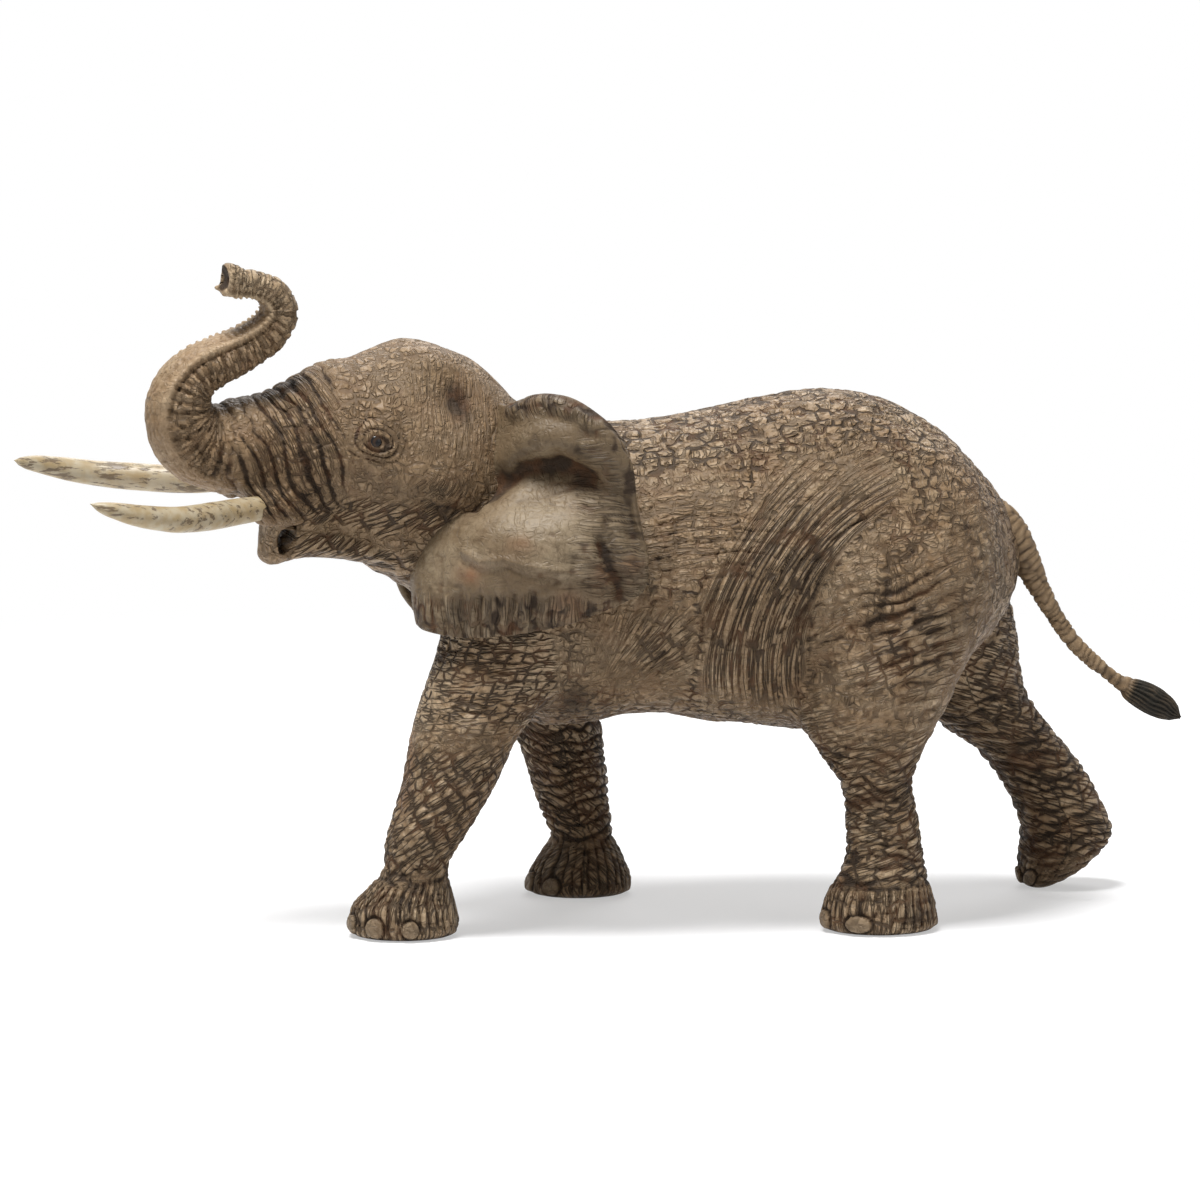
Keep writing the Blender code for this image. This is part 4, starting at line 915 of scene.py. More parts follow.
def trunk_pattern(points, ring_spacing):
    """Depth of the trunk's furrows, the lift of its two scalloped ridges and its counts of cells. Rings fork on
    the back and sides, and rings with small pits lie between the ridges of the underside, which is on the outer
    side of the first bend."""
    path, run = trunk_path(90)
    _, s, foot = along_bar(points, path, run)
    along = unit(np.gradient(path[:, :3], axis=0))
    along = unit(np.column_stack([np.interp(s, run, along[:, i]) for i in range(3)]))
    across = HEAD_TURN @ np.array((0.0, 1.0, 0.0))
    under = unit(np.cross(along, across))
    out = points - foot
    fold = np.abs(np.arctan2(out @ across, (out * under).sum(1)))
    turn = np.arctan2(out @ across, (out * under).sum(1))
    w1, w2 = cloud(points, 4.0, 21), cloud(points, 1.5, 22)
    phase = s / ring_spacing + 0.28 * ramp(45, 80, s) * (s - 45) / ring_spacing * 0.5 + 0.45 * w1 + 0.22 * w2
    back = ramp(0.80, 1.05, fold)
    ring = groove(phase, 1.5) * back
    tip = ramp(84, 92, s)
    scallop = 0.5 + 0.5 * np.cos(2 * np.pi * s / 1.35 + 1.5 * w1)
    ridge = np.exp(-(((fold - 0.80) / 0.17) ** 2)) * ramp(9, 20, s) * (1 - tip)
    between = (1 - back) * (1 - np.clip(ridge, 0, 1))
    pits = np.exp(-((cracks(s / 1.15, turn * 5, 23, 0.7) / 0.2) ** 2)) * ramp(36, 20, s)
    under_rings = groove(s / 1.35 + 0.5 * w1, 1.6) * ramp(22, 38, s)
    cross = web(points, (1.0, 3.0, 3.0), 24, 0.25) * back
    depth = 0.85 * ring * (0.75 + 0.25 * w1) + 0.10 * cross + between * (0.20 * pits + 0.45 * under_rings)
    depth = depth + 0.50 * np.exp(-(((fold - 1.02) / 0.06) ** 2)) * ramp(12, 20, s) * (1 - tip)
    lift = ridge * (0.30 + 0.50 * scallop * ramp(16, 30, s)) - 0.12 * between
    depth = depth * ramp(-2, 5, s) * (1 - 0.5 * tip)
    girth = np.interp(s, run, path[:, 3])
    depth = depth * np.clip(girth / 5.2, 0.6, 1)
    return depth, lift * ramp(6, 14, s), (fold * girth / 2.6, s / 1.25 + 0.3 * w1, 0.6 * back * (1 - tip))


# how much of the net of blocks a piece shows, how dark its furrows are painted and how pale what is raised
PAINT_SHARES = {
    "torso": (1.0, 0.82, 0.72),
    "head": (0.60, 1.25, 0.20),
    "lower_jaw": (0.45, 1.1, 0.7),
    "trunk": (0.04, 0.50, 0.95),
}
LEG_PAINT_SHARES = (0.70, 1.1, 1.0)

NAILS = {
    "front_left_leg": (
        (-94, 2.2, 1.6, 1.7), (-54, 2.3, 1.9, 2.0), (-14, 2.4, 1.9, 1.9),
        (28, 2.3, 1.8, 1.7), (72, 2.2, 1.6, 1.6),
    ),
    "front_right_leg": (
        (-53, 2.2, 1.8, 1.7), (-12, 2.4, 1.9, 1.9), (28, 2.3, 1.8, 1.8),
        (70, 2.2, 1.7, 1.7), (104, 2.1, 1.5, 1.5),
    ),
    "hind_left_leg": (
        (-63, 2.1, 2.6, 1.6), (-14, 2.2, 2.4, 1.8), (32, 2.2, 2.2, 1.7),
        (78, 2.1, 1.8, 1.6),
    ),
    "hind_right_leg": ((-46, 2.1, 1.6, 1.6), (-4, 2.2, 1.8, 1.7), (40, 2.1, 1.7, 1.6)),
}


def nail_pattern(points, name):
    """How much a place belongs to a toenail, an oval on the front of the foot, and how much to the furrow round
    it."""
    x0, y0, a, b = row_at(TABLES[name], points[:, 2])
    turn = np.degrees(np.arctan2((points[:, 1] - y0) / b, -(points[:, 0] - x0) / a))
    nail, edge = np.zeros(len(points)), np.zeros(len(points))
    for angle, height, half_wide, half_tall in NAILS[name]:
        away = np.hypot(
            (turn - angle) * np.pi / 180 * (a + b) / 2 / half_wide, (points[:, 2] - height) / half_tall
        )
        nail = np.maximum(nail, 1 - ramp(0.8, 0.98, away))
        edge = np.maximum(edge, np.exp(-(((away - 1.08) / 0.14) ** 2)))
    return nail, edge * (1 - nail)


def head_pattern(points, warp):
    """Depth of the head's furrows, and its counts of cells: ribs across the snout, rings round the eye, cracks
    on the cheek and the throat, fine upright creases behind the eye and arcs over the cheekbone."""
    reach, across, rise = to_head(points)
    local = np.column_stack([reach, across, rise])
    side = np.abs(across)
    w1, w2, w3 = warp
    depth = 0.10 * web(local, (1.6, 1.8, 1.3), 81, 0.24)
    # ribs across the snout, leaning forward at the top, broken into bumps
    snout = ramp(27, 36, reach) * ramp(-7, -1, rise)
    lean = reach - 0.36 * rise + 0.035 * np.clip(5 - rise, 0, 12) ** 2
    phase = lean / 2.75 + 0.40 * w1 + 0.20 * w2
    stagger = 0.5 * scatter(np.floor(phase).astype(np.int64), 0, 0, 5)
    level = groove(rise / 1.9 + 0.7 * w2 + stagger + 0.25 * reach, 2.6)
    depth = depth + snout * (0.85 * groove(phase, 1.7) * (0.75 + 0.25 * w3) + 0.20 * level)
    brow_ribs = ramp(20, 27, reach) * ramp(36, 30, reach) * ramp(11, 15, rise)
    depth = depth + 0.22 * brow_ribs * groove(lean / 2.2 + 0.5 * w1, 2.0) * (0.6 + 0.4 * w2)
    # lids and rings round the eye: flatter below, and drawn out towards the front
    er, ea, ez = EYE_PLACE
    dr, dz = reach - er + 0.8 * w2, rise - ez + 0.8 * w1
    dist = np.sqrt((dr * 0.86) ** 2 + (dz * np.where(dz > 0, 0.95, 1.1)) ** 2)
    by_side = ramp(7, 11, side)
    rings = by_side * (1 - ramp(3.4, 5.2, dist)) * ramp(1.3, 1.9, dist)
    depth = depth * (1 - 0.7 * rings) + 0.42 * rings * groove(dist / 1.05 + 0.45 * w2 + 0.35 * w3, 2.0)
    clear = ramp(2.5, 5.5, dist)
    # fine creases behind the eye that run down and back, and arcs over the cheekbone
    temple = ramp(24, 17, reach) * ramp(-6, 0, rise) * ramp(5, 9, side)
    crease = groove((reach + 0.30 * rise) / 1.5 + 0.7 * w1 + 0.3 * w2, 2.4)
    depth = depth + temple * clear * 0.12 * crease * ramp(-0.8, 0.3, w3)
    arcs = spot(reach, rise, 15, 1.5, 7, 5) * ramp(8, 12, side)
    depth = depth + 0.22 * arcs * groove(np.hypot(reach - 25, rise - 9) / 1.35 + 0.5 * w1, 2.2)
    # long cracks on the cheek and jaw that rise to the rear
    cheek = ramp(3, -2, rise) * ramp(40, 36, reach)
    depth = depth + cheek * 0.24 * web(local, (4.4, 3.0, 1.2), 84, 0.22, -0.75)
    throat = ramp(-10, -14, rise) * ramp(16, 8, reach)
    depth = depth + 0.34 * throat * groove((reach - 0.5 * rise) / 1.9 + 0.6 * w1, 1.6)
    slope = 0.72
    along = reach * math.cos(slope) - rise * math.sin(slope)
    over = reach * math.sin(slope) + rise * math.cos(slope)
    return depth, strongest([
        (0.04 + 0 * reach, reach / 2.4, rise / 2.0),
        (0.8 * snout, rise / 2.6, lean / 1.38),
        (cheek, along / 3.4, over / 1.9),
        (0.50 * temple * clear * (1 - arcs) * (1 - cheek), rise / 4.4, (reach + 0.30 * rise) / 1.35),
        (
            0.9 * arcs * (1 - cheek),
            np.arctan2(rise - 9, 25 - reach) * 3.4,
            np.hypot(reach - 25, rise - 9) / 1.3,
        ),
    ])


# Shader maths


class Sum:
    """One shader socket, so that node maths reads as plain arithmetic."""

    tree = None

    def __init__(self, socket):
        self.socket = socket

    @classmethod
    def node(cls, kind, inputs=None, output=0, **settings):
        """Any node: its type, its settings and what goes into its sockets."""
        made = cls.tree.nodes.new(kind)
        for key, value in settings.items():
            setattr(made, key, value)
        for key, value in (inputs or {}).items():
            cls.feed(made.inputs[key], value)
        return Sum(made.outputs[output])

    @classmethod
    def feed(cls, target, value):
        value = value.socket if isinstance(value, Sum) else value
        if hasattr(value, "is_linked"):
            cls.tree.links.new(value, target)
        else:
            target.default_value = value

    @classmethod
    def maths(cls, operation, *values, clamp=False):
        return cls.node("ShaderNodeMath", dict(enumerate(values)), operation=operation, use_clamp=clamp)

    def __add__(self, other):
        return self.maths("ADD", self, other)

    def __sub__(self, other):
        return self.maths("SUBTRACT", self, other)

    def __mul__(self, other):
        return self.maths("MULTIPLY", self, other)

    def __rsub__(self, other):
        return self.maths("SUBTRACT", other, self)

    __radd__, __rmul__ = __add__, __mul__

    def ramp(self, low, high, out_low=0.0, out_high=1.0):
        """A smooth step from one value to another."""
        return self.node(
            "ShaderNodeMapRange",
            {"Value": self, "From Min": low, "From Max": high, "To Min": out_low, "To Max": out_high},
            interpolation_type="SMOOTHSTEP",
        )

    @classmethod
    def mix(cls, share, first, second):
        """Two colours mixed by a share."""
        rgba = lambda c: c if isinstance(c, Sum) else (*c[:3], 1.0)
        made = cls.tree.nodes.new("ShaderNodeMix")
        made.data_type = "RGBA"
        cls.feed(made.inputs[0], share)
        cls.feed(made.inputs[6], rgba(first))
        cls.feed(made.inputs[7], rgba(second))
        return Sum(made.outputs[2])

    @classmethod
    def value(cls, name):
        """A pattern stored on the piece's points."""
        return cls.node("ShaderNodeAttribute", output=2, attribute_name=name)

    @classmethod
    def vector(cls, name):
        return cls.node("ShaderNodeAttribute", output=1, attribute_name=name)

    @classmethod
    def noise(cls, where, scale, detail=3.0, rough=0.55):
        return cls.node(
            "ShaderNodeTexNoise", {"Vector": where, "Scale": scale, "Detail": detail, "Roughness": rough}
        )

    @classmethod
    def shift(cls, where, amount, scale):
        """Where, moved about by soft noise of that scale."""
        colour = cls.node("ShaderNodeTexNoise", {"Vector": where, "Scale": scale, "Detail": 2.0}, output=1)
        middle = cls.node("ShaderNodeVectorMath", {0: colour, 1: (0.5, 0.5, 0.5)}, operation="SUBTRACT")
        scaled = cls.node("ShaderNodeVectorMath", {0: middle, 3: amount}, operation="SCALE")
        return cls.node("ShaderNodeVectorMath", {0: where, 1: scaled}, operation="ADD")


def start_material(name):
    """A new material whose shader is ready to be fed."""
    material = bpy.data.materials.new(name)
    material.use_nodes = True
    Sum.tree = material.node_tree
    shader = material.node_tree.nodes["Principled BSDF"]
    where = Sum.node("ShaderNodeTexCoord", output="Object")
    return material, shader, where


def bumped(shader, height, distance, strength):
    """Feeds a height in millimetres to the shader's normal through a Bump node."""
    normal = Sum.node("ShaderNodeBump", {"Height": height, "Distance": distance, "Strength": strength})
    Sum.feed(shader.inputs["Normal"], normal)


def lattice(where, size, turn=0.0):
    """Where, counted in cells of that size in metres along x, y and z, turned in the upright plane."""
    return Sum.node(
        "ShaderNodeMapping",
        {"Vector": where, "Rotation": (0.0, turn, 0.0), "Scale": size},
        vector_type="TEXTURE",
    )


def hair_lines(where, size, width):
    """Hair cracks, where stretched noise passes its middle value; size is cells a metre on each axis."""
    stretched = Sum.node("ShaderNodeVectorMath", {0: where, 1: size}, operation="MULTIPLY")
    return Sum.maths("ABSOLUTE", Sum.noise(stretched, 1.0, 1.0) - 0.5).ramp(0.0, width, 1.0, 0.0)


def crack_net(where, width, puff, flat=False, random=0.85):
    """Cracks along the borders between cells of unit size, and the cells' puffed middles."""
    edge = Sum.node(
        "ShaderNodeTexVoronoi", {"Vector": where, "Scale": 1.0, "Randomness": random},
        feature="DISTANCE_TO_EDGE", voronoi_dimensions="2D" if flat else "3D",
    )
    return edge.ramp(width * 0.25, width, 1.0, 0.0), edge.ramp(0.0, puff)


def skin_material(name, light, middle, dark):
    """Painted vinyl skin: the middle colour, a paler dry brush on raised places, a dark wash in the furrows,
    which also carries the painted shade of hollows, and three kinds of cracks: blocks all over, hair cracks
    between them, and cells drawn out along the folds."""
    material, shader, where = start_material(name)
    wash, high, nail, rust = Sum.value("wash"), Sum.value("high"), Sum.value("nail"), Sum.value("rust")
    own, net, blocky = Sum.vector("cells"), Sum.value("net"), Sum.value("blocky")
    moved = Sum.shift(Sum.shift(where, 0.0026, 150.0), 0.0009, 620.0)
    patches = Sum.noise(where, 260.0, 2.0)
    block, block_puff = crack_net(lattice(moved, (0.0027, 0.0028, 0.0019), 0.08), 0.15, 0.45, random=0.6)
    flow, flow_puff = crack_net(Sum.shift(own, 0.40, 0.9), 0.15, 0.40, True, 0.5)
    level = hair_lines(moved, (240.0, 240.0, 760.0), 0.075)
    upright = hair_lines(moved, (760.0, 240.0, 240.0), 0.075)
    drawn = hair_lines(own, (0.50, 1.70, 1.0), 0.075)
    less = (1 - net * 0.9) * blocky
    gate = Sum.noise(where, 430.0, 1.0).ramp(0.40, 0.50, 0.15, 1.0)
    block = block * gate * less
    fine = Sum.maths("MAXIMUM", level, upright) * (1 - net * 0.6) * patches.ramp(0.35, 0.50, 0.3, 1.0)
    fine = fine * blocky.ramp(0.0, 0.8, 0.14, 0.62)
    flow = Sum.maths("MAXIMUM", flow * gate, drawn) * net
    crack = Sum.maths("MAXIMUM", Sum.maths("MAXIMUM", block, flow), fine, clamp=True)
    puffed = block_puff * less * 0.26 + flow_puff * net * 0.45
    speckle = Sum.noise(where, 1300.0, 3.0, 0.7)
    tone = (high * 0.66 + puffed * 0.36 + (speckle - 0.5) * 0.7 + (patches - 0.5) * 0.2 + 0.02).ramp(0.0, 1.0)
    base = Sum.mix(tone, middle, light)
    warm = tuple(a * b for a, b in zip(middle, (1.02, 0.86, 0.70)))
    base = Sum.mix(Sum.noise(where, 75.0, 3.0).ramp(0.42, 0.66) * 0.30, base, warm)
    base = Sum.mix((0.50 - speckle).ramp(0.0, 0.25) * 0.28, base, dark)
    lifted = tuple(a * b for a, b in zip(dark, (2.5, 1.95, 1.5)))
    brown = Sum.mix(Sum.noise(where, 210.0, 2.0).ramp(0.45, 0.65), dark, lifted)
    # shade: the furrows' dark wash and the painted shade of hollows, both from the wash attribute, and the
    # cracks
    shade = Sum.maths("MAXIMUM", wash.ramp(0.12, 0.85), crack * 0.96, clamp=True)
    base = Sum.mix(rust, base, (0.17, 0.075, 0.034))
    base = Sum.mix(shade * 0.96, base, brown)
    horn = Sum.mix(Sum.noise(where, 500.0, 3.0), (0.24, 0.18, 0.115), (0.10, 0.07, 0.042))
    base = Sum.mix(nail * (1 - shade * 0.7) * 0.6, base, horn)
    Sum.feed(shader.inputs["Base Color"], base)
    Sum.feed(shader.inputs["Roughness"], shade * 0.25 + 0.48)
    shader.inputs["Specular IOR Level"].default_value = 0.22
    bumped(shader, speckle * 0.15 + puffed * (1 - nail) * 0.9 - crack * (1 - nail * 0.6), 0.0006, 1.0)
    return material


def ivory_material(settings):
    """Cream paint with short dark streaks along the tusk, and a brown stain towards the root."""
    material, shader, where = start_material("ivory_paint")
    stretched = Sum.node("ShaderNodeVectorMath", {0: where, 1: (210.0, 1300.0, 1300.0)}, operation="MULTIPLY")
    streak = Sum.noise(stretched, 1.0, 4.0, 0.7)
    blotch = Sum.noise(where, 180.0, 2.0)
    stain = Sum.value("wash")
    marks = (streak + (blotch - 0.5) * 0.45 + stain * 0.07).ramp(0.565, 0.625)
    warm = tuple(a * b for a, b in zip(settings.ivory, (0.80, 0.70, 0.52)))
    base = Sum.mix(Sum.noise(where, 420.0, 3.0).ramp(0.35, 0.65), settings.ivory, warm)
    base = Sum.mix(stain * 0.45, base, (0.30, 0.19, 0.09))
    base = Sum.mix(marks * 0.85, base, (0.085, 0.052, 0.024))
    Sum.feed(shader.inputs["Base Color"], base)
    shader.inputs["Roughness"].default_value = 0.45
    bumped(shader, 0 - marks, 0.00012, 0.7)
    return material


def tail_material(settings):
    """Skin like the body's that turns to the tuft's dark grey-green between bristle furrows."""
    material, shader, where = start_material("tail_paint")
    wash, high, tuft = Sum.value("wash"), Sum.value("high"), Sum.value("tuft")
    speckle = Sum.noise(where, 1100.0, 3.0, 0.7)
    tone = (high * 0.5 + (speckle - 0.5) * 1.4).ramp(0.0, 1.2)
    base = Sum.mix(tone * 0.7, settings.skin_middle, settings.skin_light)
    base = Sum.mix(wash * 0.75, base, settings.skin_dark)
    hair = Sum.mix(tone * 0.8, settings.tuft, (0.088, 0.062, 0.036))
    hair = Sum.mix(wash, hair, (0.010, 0.009, 0.006))
    Sum.feed(shader.inputs["Base Color"], Sum.mix(tuft, base, hair))
    shader.inputs["Roughness"].default_value = 0.6
    shader.inputs["Specular IOR Level"].default_value = 0.22
    bumped(shader, speckle, 0.00015, 0.8)
    return material


def eye_material():
    """Glossy near-black paint with a brown ring."""
    material, shader, _ = start_material("eye_paint")
    ring = Sum.value("wash")
    Sum.feed(shader.inputs["Base Color"], Sum.mix(ring, (0.004, 0.004, 0.005), (0.030, 0.016, 0.008)))
    shader.inputs["Roughness"].default_value = 0.08
    shader.inputs["Specular IOR Level"].default_value = 0.22
    return material


def pattern_values(depth, soft, nail, rust):
    """What the skin's material reads: how deep a furrow is, how raised a place is, nails and rusty paint."""
    return {
        "wash": np.clip((depth - 0.06) / 0.50, 0, 1),
        "high": np.clip(0.62 - depth / 0.30 + soft, 0, 1),
        "nail": nail,
        "rust": rust,
    }


# Sizes and colours that a user would change


class ElephantSizes(bpy.types.PropertyGroup):
    """Sizes of the skin's relief."""

    skin_pitch: FloatProperty(
        name="Skin pitch", description="Spacing of the skin's net before it is subdivided", default=0.00132,
        unit="LENGTH", min=0.0009, max=0.004,
    )
    fold_depth: FloatProperty(
        name="Fold depth", description="Share of the measured depth of folds and furrows", default=1.0,
        subtype="FACTOR", min=0.0, max=2.0,
    )
    ring_spacing: FloatProperty(
        name="Ring spacing", description="Distance between two rings of the trunk", default=0.00165,
        unit="LENGTH",
    )
    eye_radius: FloatProperty(
        name="Eye radius", description="Radius of an eyeball", default=0.0016, unit="LENGTH",
    )


class ElephantColours(bpy.types.PropertyGroup):
    """Paint colours, in linear light."""

    skin_light: FloatVectorProperty(
        name="Skin, raised", description="Dry brush on raised skin", default=(0.400, 0.304, 0.196),
        subtype="COLOR",
    )
    skin_middle: FloatVectorProperty(
        name="Skin", description="Skin between furrows", default=(0.190, 0.126, 0.069), subtype="COLOR",
    )
    # also the colour of the painted shade in hollows
    skin_dark: FloatVectorProperty(
        name="Skin, furrows", description="Dark wash in furrows", default=(0.020, 0.011, 0.005),
        subtype="COLOR",
    )
    # also the colour of the painted highlight on the middle of the ear
    ear_light: FloatVectorProperty(
        name="Ear, raised", description="Dry brush on the ears", default=(0.230, 0.178, 0.114),
        subtype="COLOR",
    )
    ear_middle: FloatVectorProperty(
        name="Ear", description="Skin of the ears", default=(0.112, 0.078, 0.044), subtype="COLOR",
    )
    ivory: FloatVectorProperty(
        name="Ivory", description="Cream paint of the tusks", default=(0.34, 0.29, 0.20), subtype="COLOR",
    )
    tuft: FloatVectorProperty(
        name="Tuft", description="Hair at the end of the tail", default=(0.026, 0.019, 0.011),
        subtype="COLOR",
    )


# Pieces


def make_skin(sizes, colours):
    """Torso, legs, head, jaw and trunk as one net of even faces, split at the seams of the moulding afterwards.

    The pieces run into each other without a step, which forms on separate grids don't give. So this surface is
    the zero level of a field of blended distances, and the other pieces are grids of two parameters.
    """
    pitch = sizes.skin_pitch * 1000
    low, high = np.array((-84.0, -33.0, -3.0)), np.array((97.0, 38.0, 121.0))
    points, quads = box_net(skin_field, low, high, pitch)
    points, normals, quads = subdivided(points, quads, 2)
    dist = part_distances(points)
    names = list(dist)
    stack = np.stack([dist[n] for n in names])
    weights = np.exp(-np.clip(stack - stack.min(0), 0, 30) / 1.6)
    weights /= weights.sum(0)
    warp = (
        cloud(points, 7.0, 1) + 0.4 * cloud(points, 2.6, 2),
        cloud(points, 5.5, 3) + 0.4 * cloud(points, 2.2, 4),
        cloud(points, 9.0, 5) + 0.5 * cloud(points, 3.0, 6),
    )
    depth, lift = np.zeros(len(points)), np.zeros(len(points))
    nail, rim = np.zeros(len(points)), np.zeros(len(points))
    cells, net = np.zeros((len(points), 3)), np.zeros(len(points))
    paint = np.zeros((len(points), 3))
    owner = stack.argmin(0)
    for i, name in enumerate(names):
        pick = weights[i] > 0.02
        local, local_warp = points[pick], tuple(w[pick] for w in warp)
        if name == "torso":
            found, nets = torso_pattern(local, local_warp)
        elif name in LEGS:
            found, nets = leg_pattern(local, name, local_warp)
            on_nail, edge = nail_pattern(local, name)
            nail[pick] = np.maximum(nail[pick], on_nail * weights[i][pick])
            rim[pick] = np.maximum(rim[pick], edge * weights[i][pick])
        elif name == "trunk":
            found, ridges, nets = trunk_pattern(local, sizes.ring_spacing * 1000)
            lift[pick] += ridges * weights[i][pick]
        else:
            found, nets = head_pattern(local, local_warp)
        depth[pick] += found * weights[i][pick]
        paint += np.multiply.outer(weights[i], PAINT_SHARES.get(name, LEG_PAINT_SHARES))
        own = owner[pick] == i
        at = np.flatnonzero(pick)[own]
        cells[at, 0], cells[at, 1] = nets[0][own] + 40 * i, nets[1][own]
        net[at] = nets[2][own] * ramp(0.55, 0.8, weights[i][at])
    depth = depth * (1 - nail) + 0.35 * rim
    u, v = near_view(points)
    sole = ramp(0.25, 1.2, points[:, 2])
    puff = 0.13 * cloud(points, 3.4, 11) + 0.10 * cloud(points, 1.4, 12)
    hollow, _ = nostrils(points)
    at_tip = 1 - ramp(0.0, 1.5, hollow)
    move = (lift - depth) * sizes.fold_depth * (1 - at_tip) + puff * (1 - nail) * (1 - at_tip) + 0.30 * nail
    points = points + normals * (move * sole)[:, None]
    points[:, 2] = np.maximum(points[:, 2], 0.0)
    rust = ramp(0.1, 0.7, cloud(points, 4.0, 15)) * ramp(0.2, 0.6, cloud(points, 11.0, 16)) * 0.35
    values = pattern_values((depth - 0.5 * lift) * paint[:, 1], 0.30 * cloud(points, 5.0, 13), nail, rust)
    values["cells"], values["net"], values["blocky"] = cells, net * (1 - nail) * (1 - at_tip), paint[:, 0]
    # painted shadows: temple, armpit, rings round the eye, soft patches, feet, mouth and nostrils
    reach, across, rise = to_head(points)
    side = np.abs(across)
    shade = 0.85 * np.exp(-(((reach - 10.3) / 3.4) ** 2 + ((rise - 16.2) / 4.4) ** 2)) * (side > 7)
    shade = np.maximum(shade, 0.7 * spot(u, v, 575, 700, 26, 22) * (points[:, 2] < 60))
    er, _, ez = EYE_PLACE
    round_eye = np.hypot(0.85 * (reach - er), 1.1 * (rise - ez) + 0.15)
    shade = np.maximum(shade, 0.85 * np.exp(-(((round_eye - 1.3) / 0.55) ** 2)) * (side > 6))
    outer_ring = 0.5 * np.exp(-(((round_eye - 3.1) / 0.5) ** 2)) * (side > 6)
    shade = np.maximum(shade, outer_ring * (0.5 + 0.5 * cloud(points, 2.0, 17)))
    soft = sum(share * spot(u, v, *patch) for share, patch in SOFT_SHADES)
    foot = 0.38 * (1 - ramp(6, 12, points[:, 2])) * (0.7 + 0.5 * cloud(points, 3.0, 18))
    shade = np.maximum(shade, np.clip(soft + foot, 0, 0.8) * (0.7 + 0.4 * cloud(points, 2.6, 19)))
    in_mouth = np.exp(-(((reach - mouth_line(rise)) / 0.75) ** 2))
    in_mouth = in_mouth * ramp(-12.5, -10.5, rise) * ramp(-4.3, -5.6, rise)
    shade = np.maximum(shade, in_mouth * (side < 13))
    shade = np.maximum(shade, 1 - ramp(-0.2, 0.5, hollow))
    # the painted shadows go into the wash attribute along with the furrows' dark wash, and dim the paler dry
    # brush
    values["wash"] = np.clip(values["wash"] + shade, 0, 1)
    values["high"] = values["high"] * (1 - shade) * paint[:, 2]

    face_owner = owner[quads[:, 0]]
    middle_y = points[quads[:, 0], 1]
    material = skin_material("skin_paint", colours.skin_light, colours.skin_middle, colours.skin_dark)
    made = []
    for j, name in enumerate(names):
        own = face_owner == j
        shells = (("body_left_shell", own & (middle_y < 0)), ("body_right_shell", own & (middle_y >= 0)))
        for node, mask in shells if name == "torso" else ((name, own),):
            used, faces = np.unique(quads[mask], return_inverse=True)
            faces = faces.reshape(-1, 4)
            part_values = {k: d[used] for k, d in values.items()}
            p, tris, part_values, rim_points = capped(points[used], faces, part_values)
            mesh = new_mesh(node + "_skin", place(p), tris)
            set_values(mesh, part_values)
            mark_rim(mesh, rim_points)
            made.append(finish_piece(node + "_skin", mesh, material, node))
            print(node, len(tris), "triangles")
    return made


def mark_rim(mesh, rim_points):
    """Keeps the shading of a cap apart from the skin's along the rim."""
    on_rim = np.zeros(len(mesh.vertices), bool)
    on_rim[rim_points] = True
    ends = np.empty(len(mesh.edges) * 2, np.int32)
    mesh.edges.foreach_get("vertices", ends)
    sharp = on_rim[ends.reshape(-1, 2)].all(1)
    layer = mesh.attributes.get("sharp_edge") or mesh.attributes.new("sharp_edge", "BOOLEAN", "EDGE")
    layer.data.foreach_set("value", sharp)


def closed_tube(rings, values):
    """A grid of rings whose two ends are closed by one point each."""
    rows, columns, _ = rings.shape
    quads = grid_quads(rows, columns, True)
    tris = np.concatenate([quads[:, [0, 1, 2]], quads[:, [0, 2, 3]]])
    first, last = rings[0].mean(0), rings[-1].mean(0)
    count = rows * columns
    j = np.arange(columns)
    k = (j + 1) % columns
    start_fan = np.column_stack([k, j, np.full(columns, count)])
    end = (rows - 1) * columns
    end_fan = np.column_stack([end + j, end + k, np.full(columns, count + 1)])
    points = np.concatenate([rings.reshape(-1, 3), [first, last]])
    values = {
        n: np.concatenate([d.reshape((count,) + d.shape[2:]), np.stack([d[0].mean(0), d[-1].mean(0)])])
        for n, d in values.items()
    }
    return points, np.concatenate([tris, start_fan, end_fan]), values


def outward(points, tris):
    """Turns all faces round if the sum of their triple products, six times the volume, is below 0."""
    a, b, c = points[tris[:, 0]], points[tris[:, 1]], points[tris[:, 2]]
    return tris if np.einsum("ij,ij->i", a, np.cross(b, c)).sum() > 0 else tris[:, ::-1]


def make_tusks(sizes, colours):
    """A ring carried along each tusk, slightly uneven, ending in a rounded point."""
    made = []
    material = ivory_material(colours)
    for name, side in (("left_tusk", LEFT), ("right_tusk", RIGHT)):
        path, run = tusk_path(side, 240)
        line, radius = path[:, :3], path[:, 3].copy()
        along = unit(np.gradient(line, axis=0))
        across = unit(np.cross(along, np.array((0.0, 0.0, 1.0))))
        up = np.cross(across, along)
        columns = 56
        turn = np.linspace(0, 2 * np.pi, columns, endpoint=False)
        left = run[-1] - run
        radius = np.where(left < 1.2, radius * np.sqrt(np.clip(left / 1.2, 0.02, 1)), radius)
        where = line[:, None, :] + radius[:, None, None] * (
            np.cos(turn)[None, :, None] * across[:, None, :] + np.sin(turn)[None, :, None] * up[:, None, :]
        )
        dents = 0.05 * cloud(where.reshape(-1, 3) * (0.5, 1, 1), 2.2, 31).reshape(where.shape[:2])
        normal = unit(where - line[:, None, :])
        where = where + normal * (dents * ramp(0, 4, left)[:, None])[..., None]
        stained = 0.35 if side == LEFT else 0.9
        stain = stained * ramp(1.0, 0.1, run / run[-1])[:, None] + np.zeros_like(dents)
        stain = stain * (0.6 + 0.4 * cloud(where.reshape(-1, 3), 4.0, 32).reshape(dents.shape))
        values = {"wash": np.clip(stain, 0, 1)}
        points, tris, values = closed_tube(where, values)
        mesh = new_mesh(name + "_paint", place(points), outward(points, tris))
        set_values(mesh, values)
        made.append(finish_piece(name + "_paint", mesh, material, name))
    return made


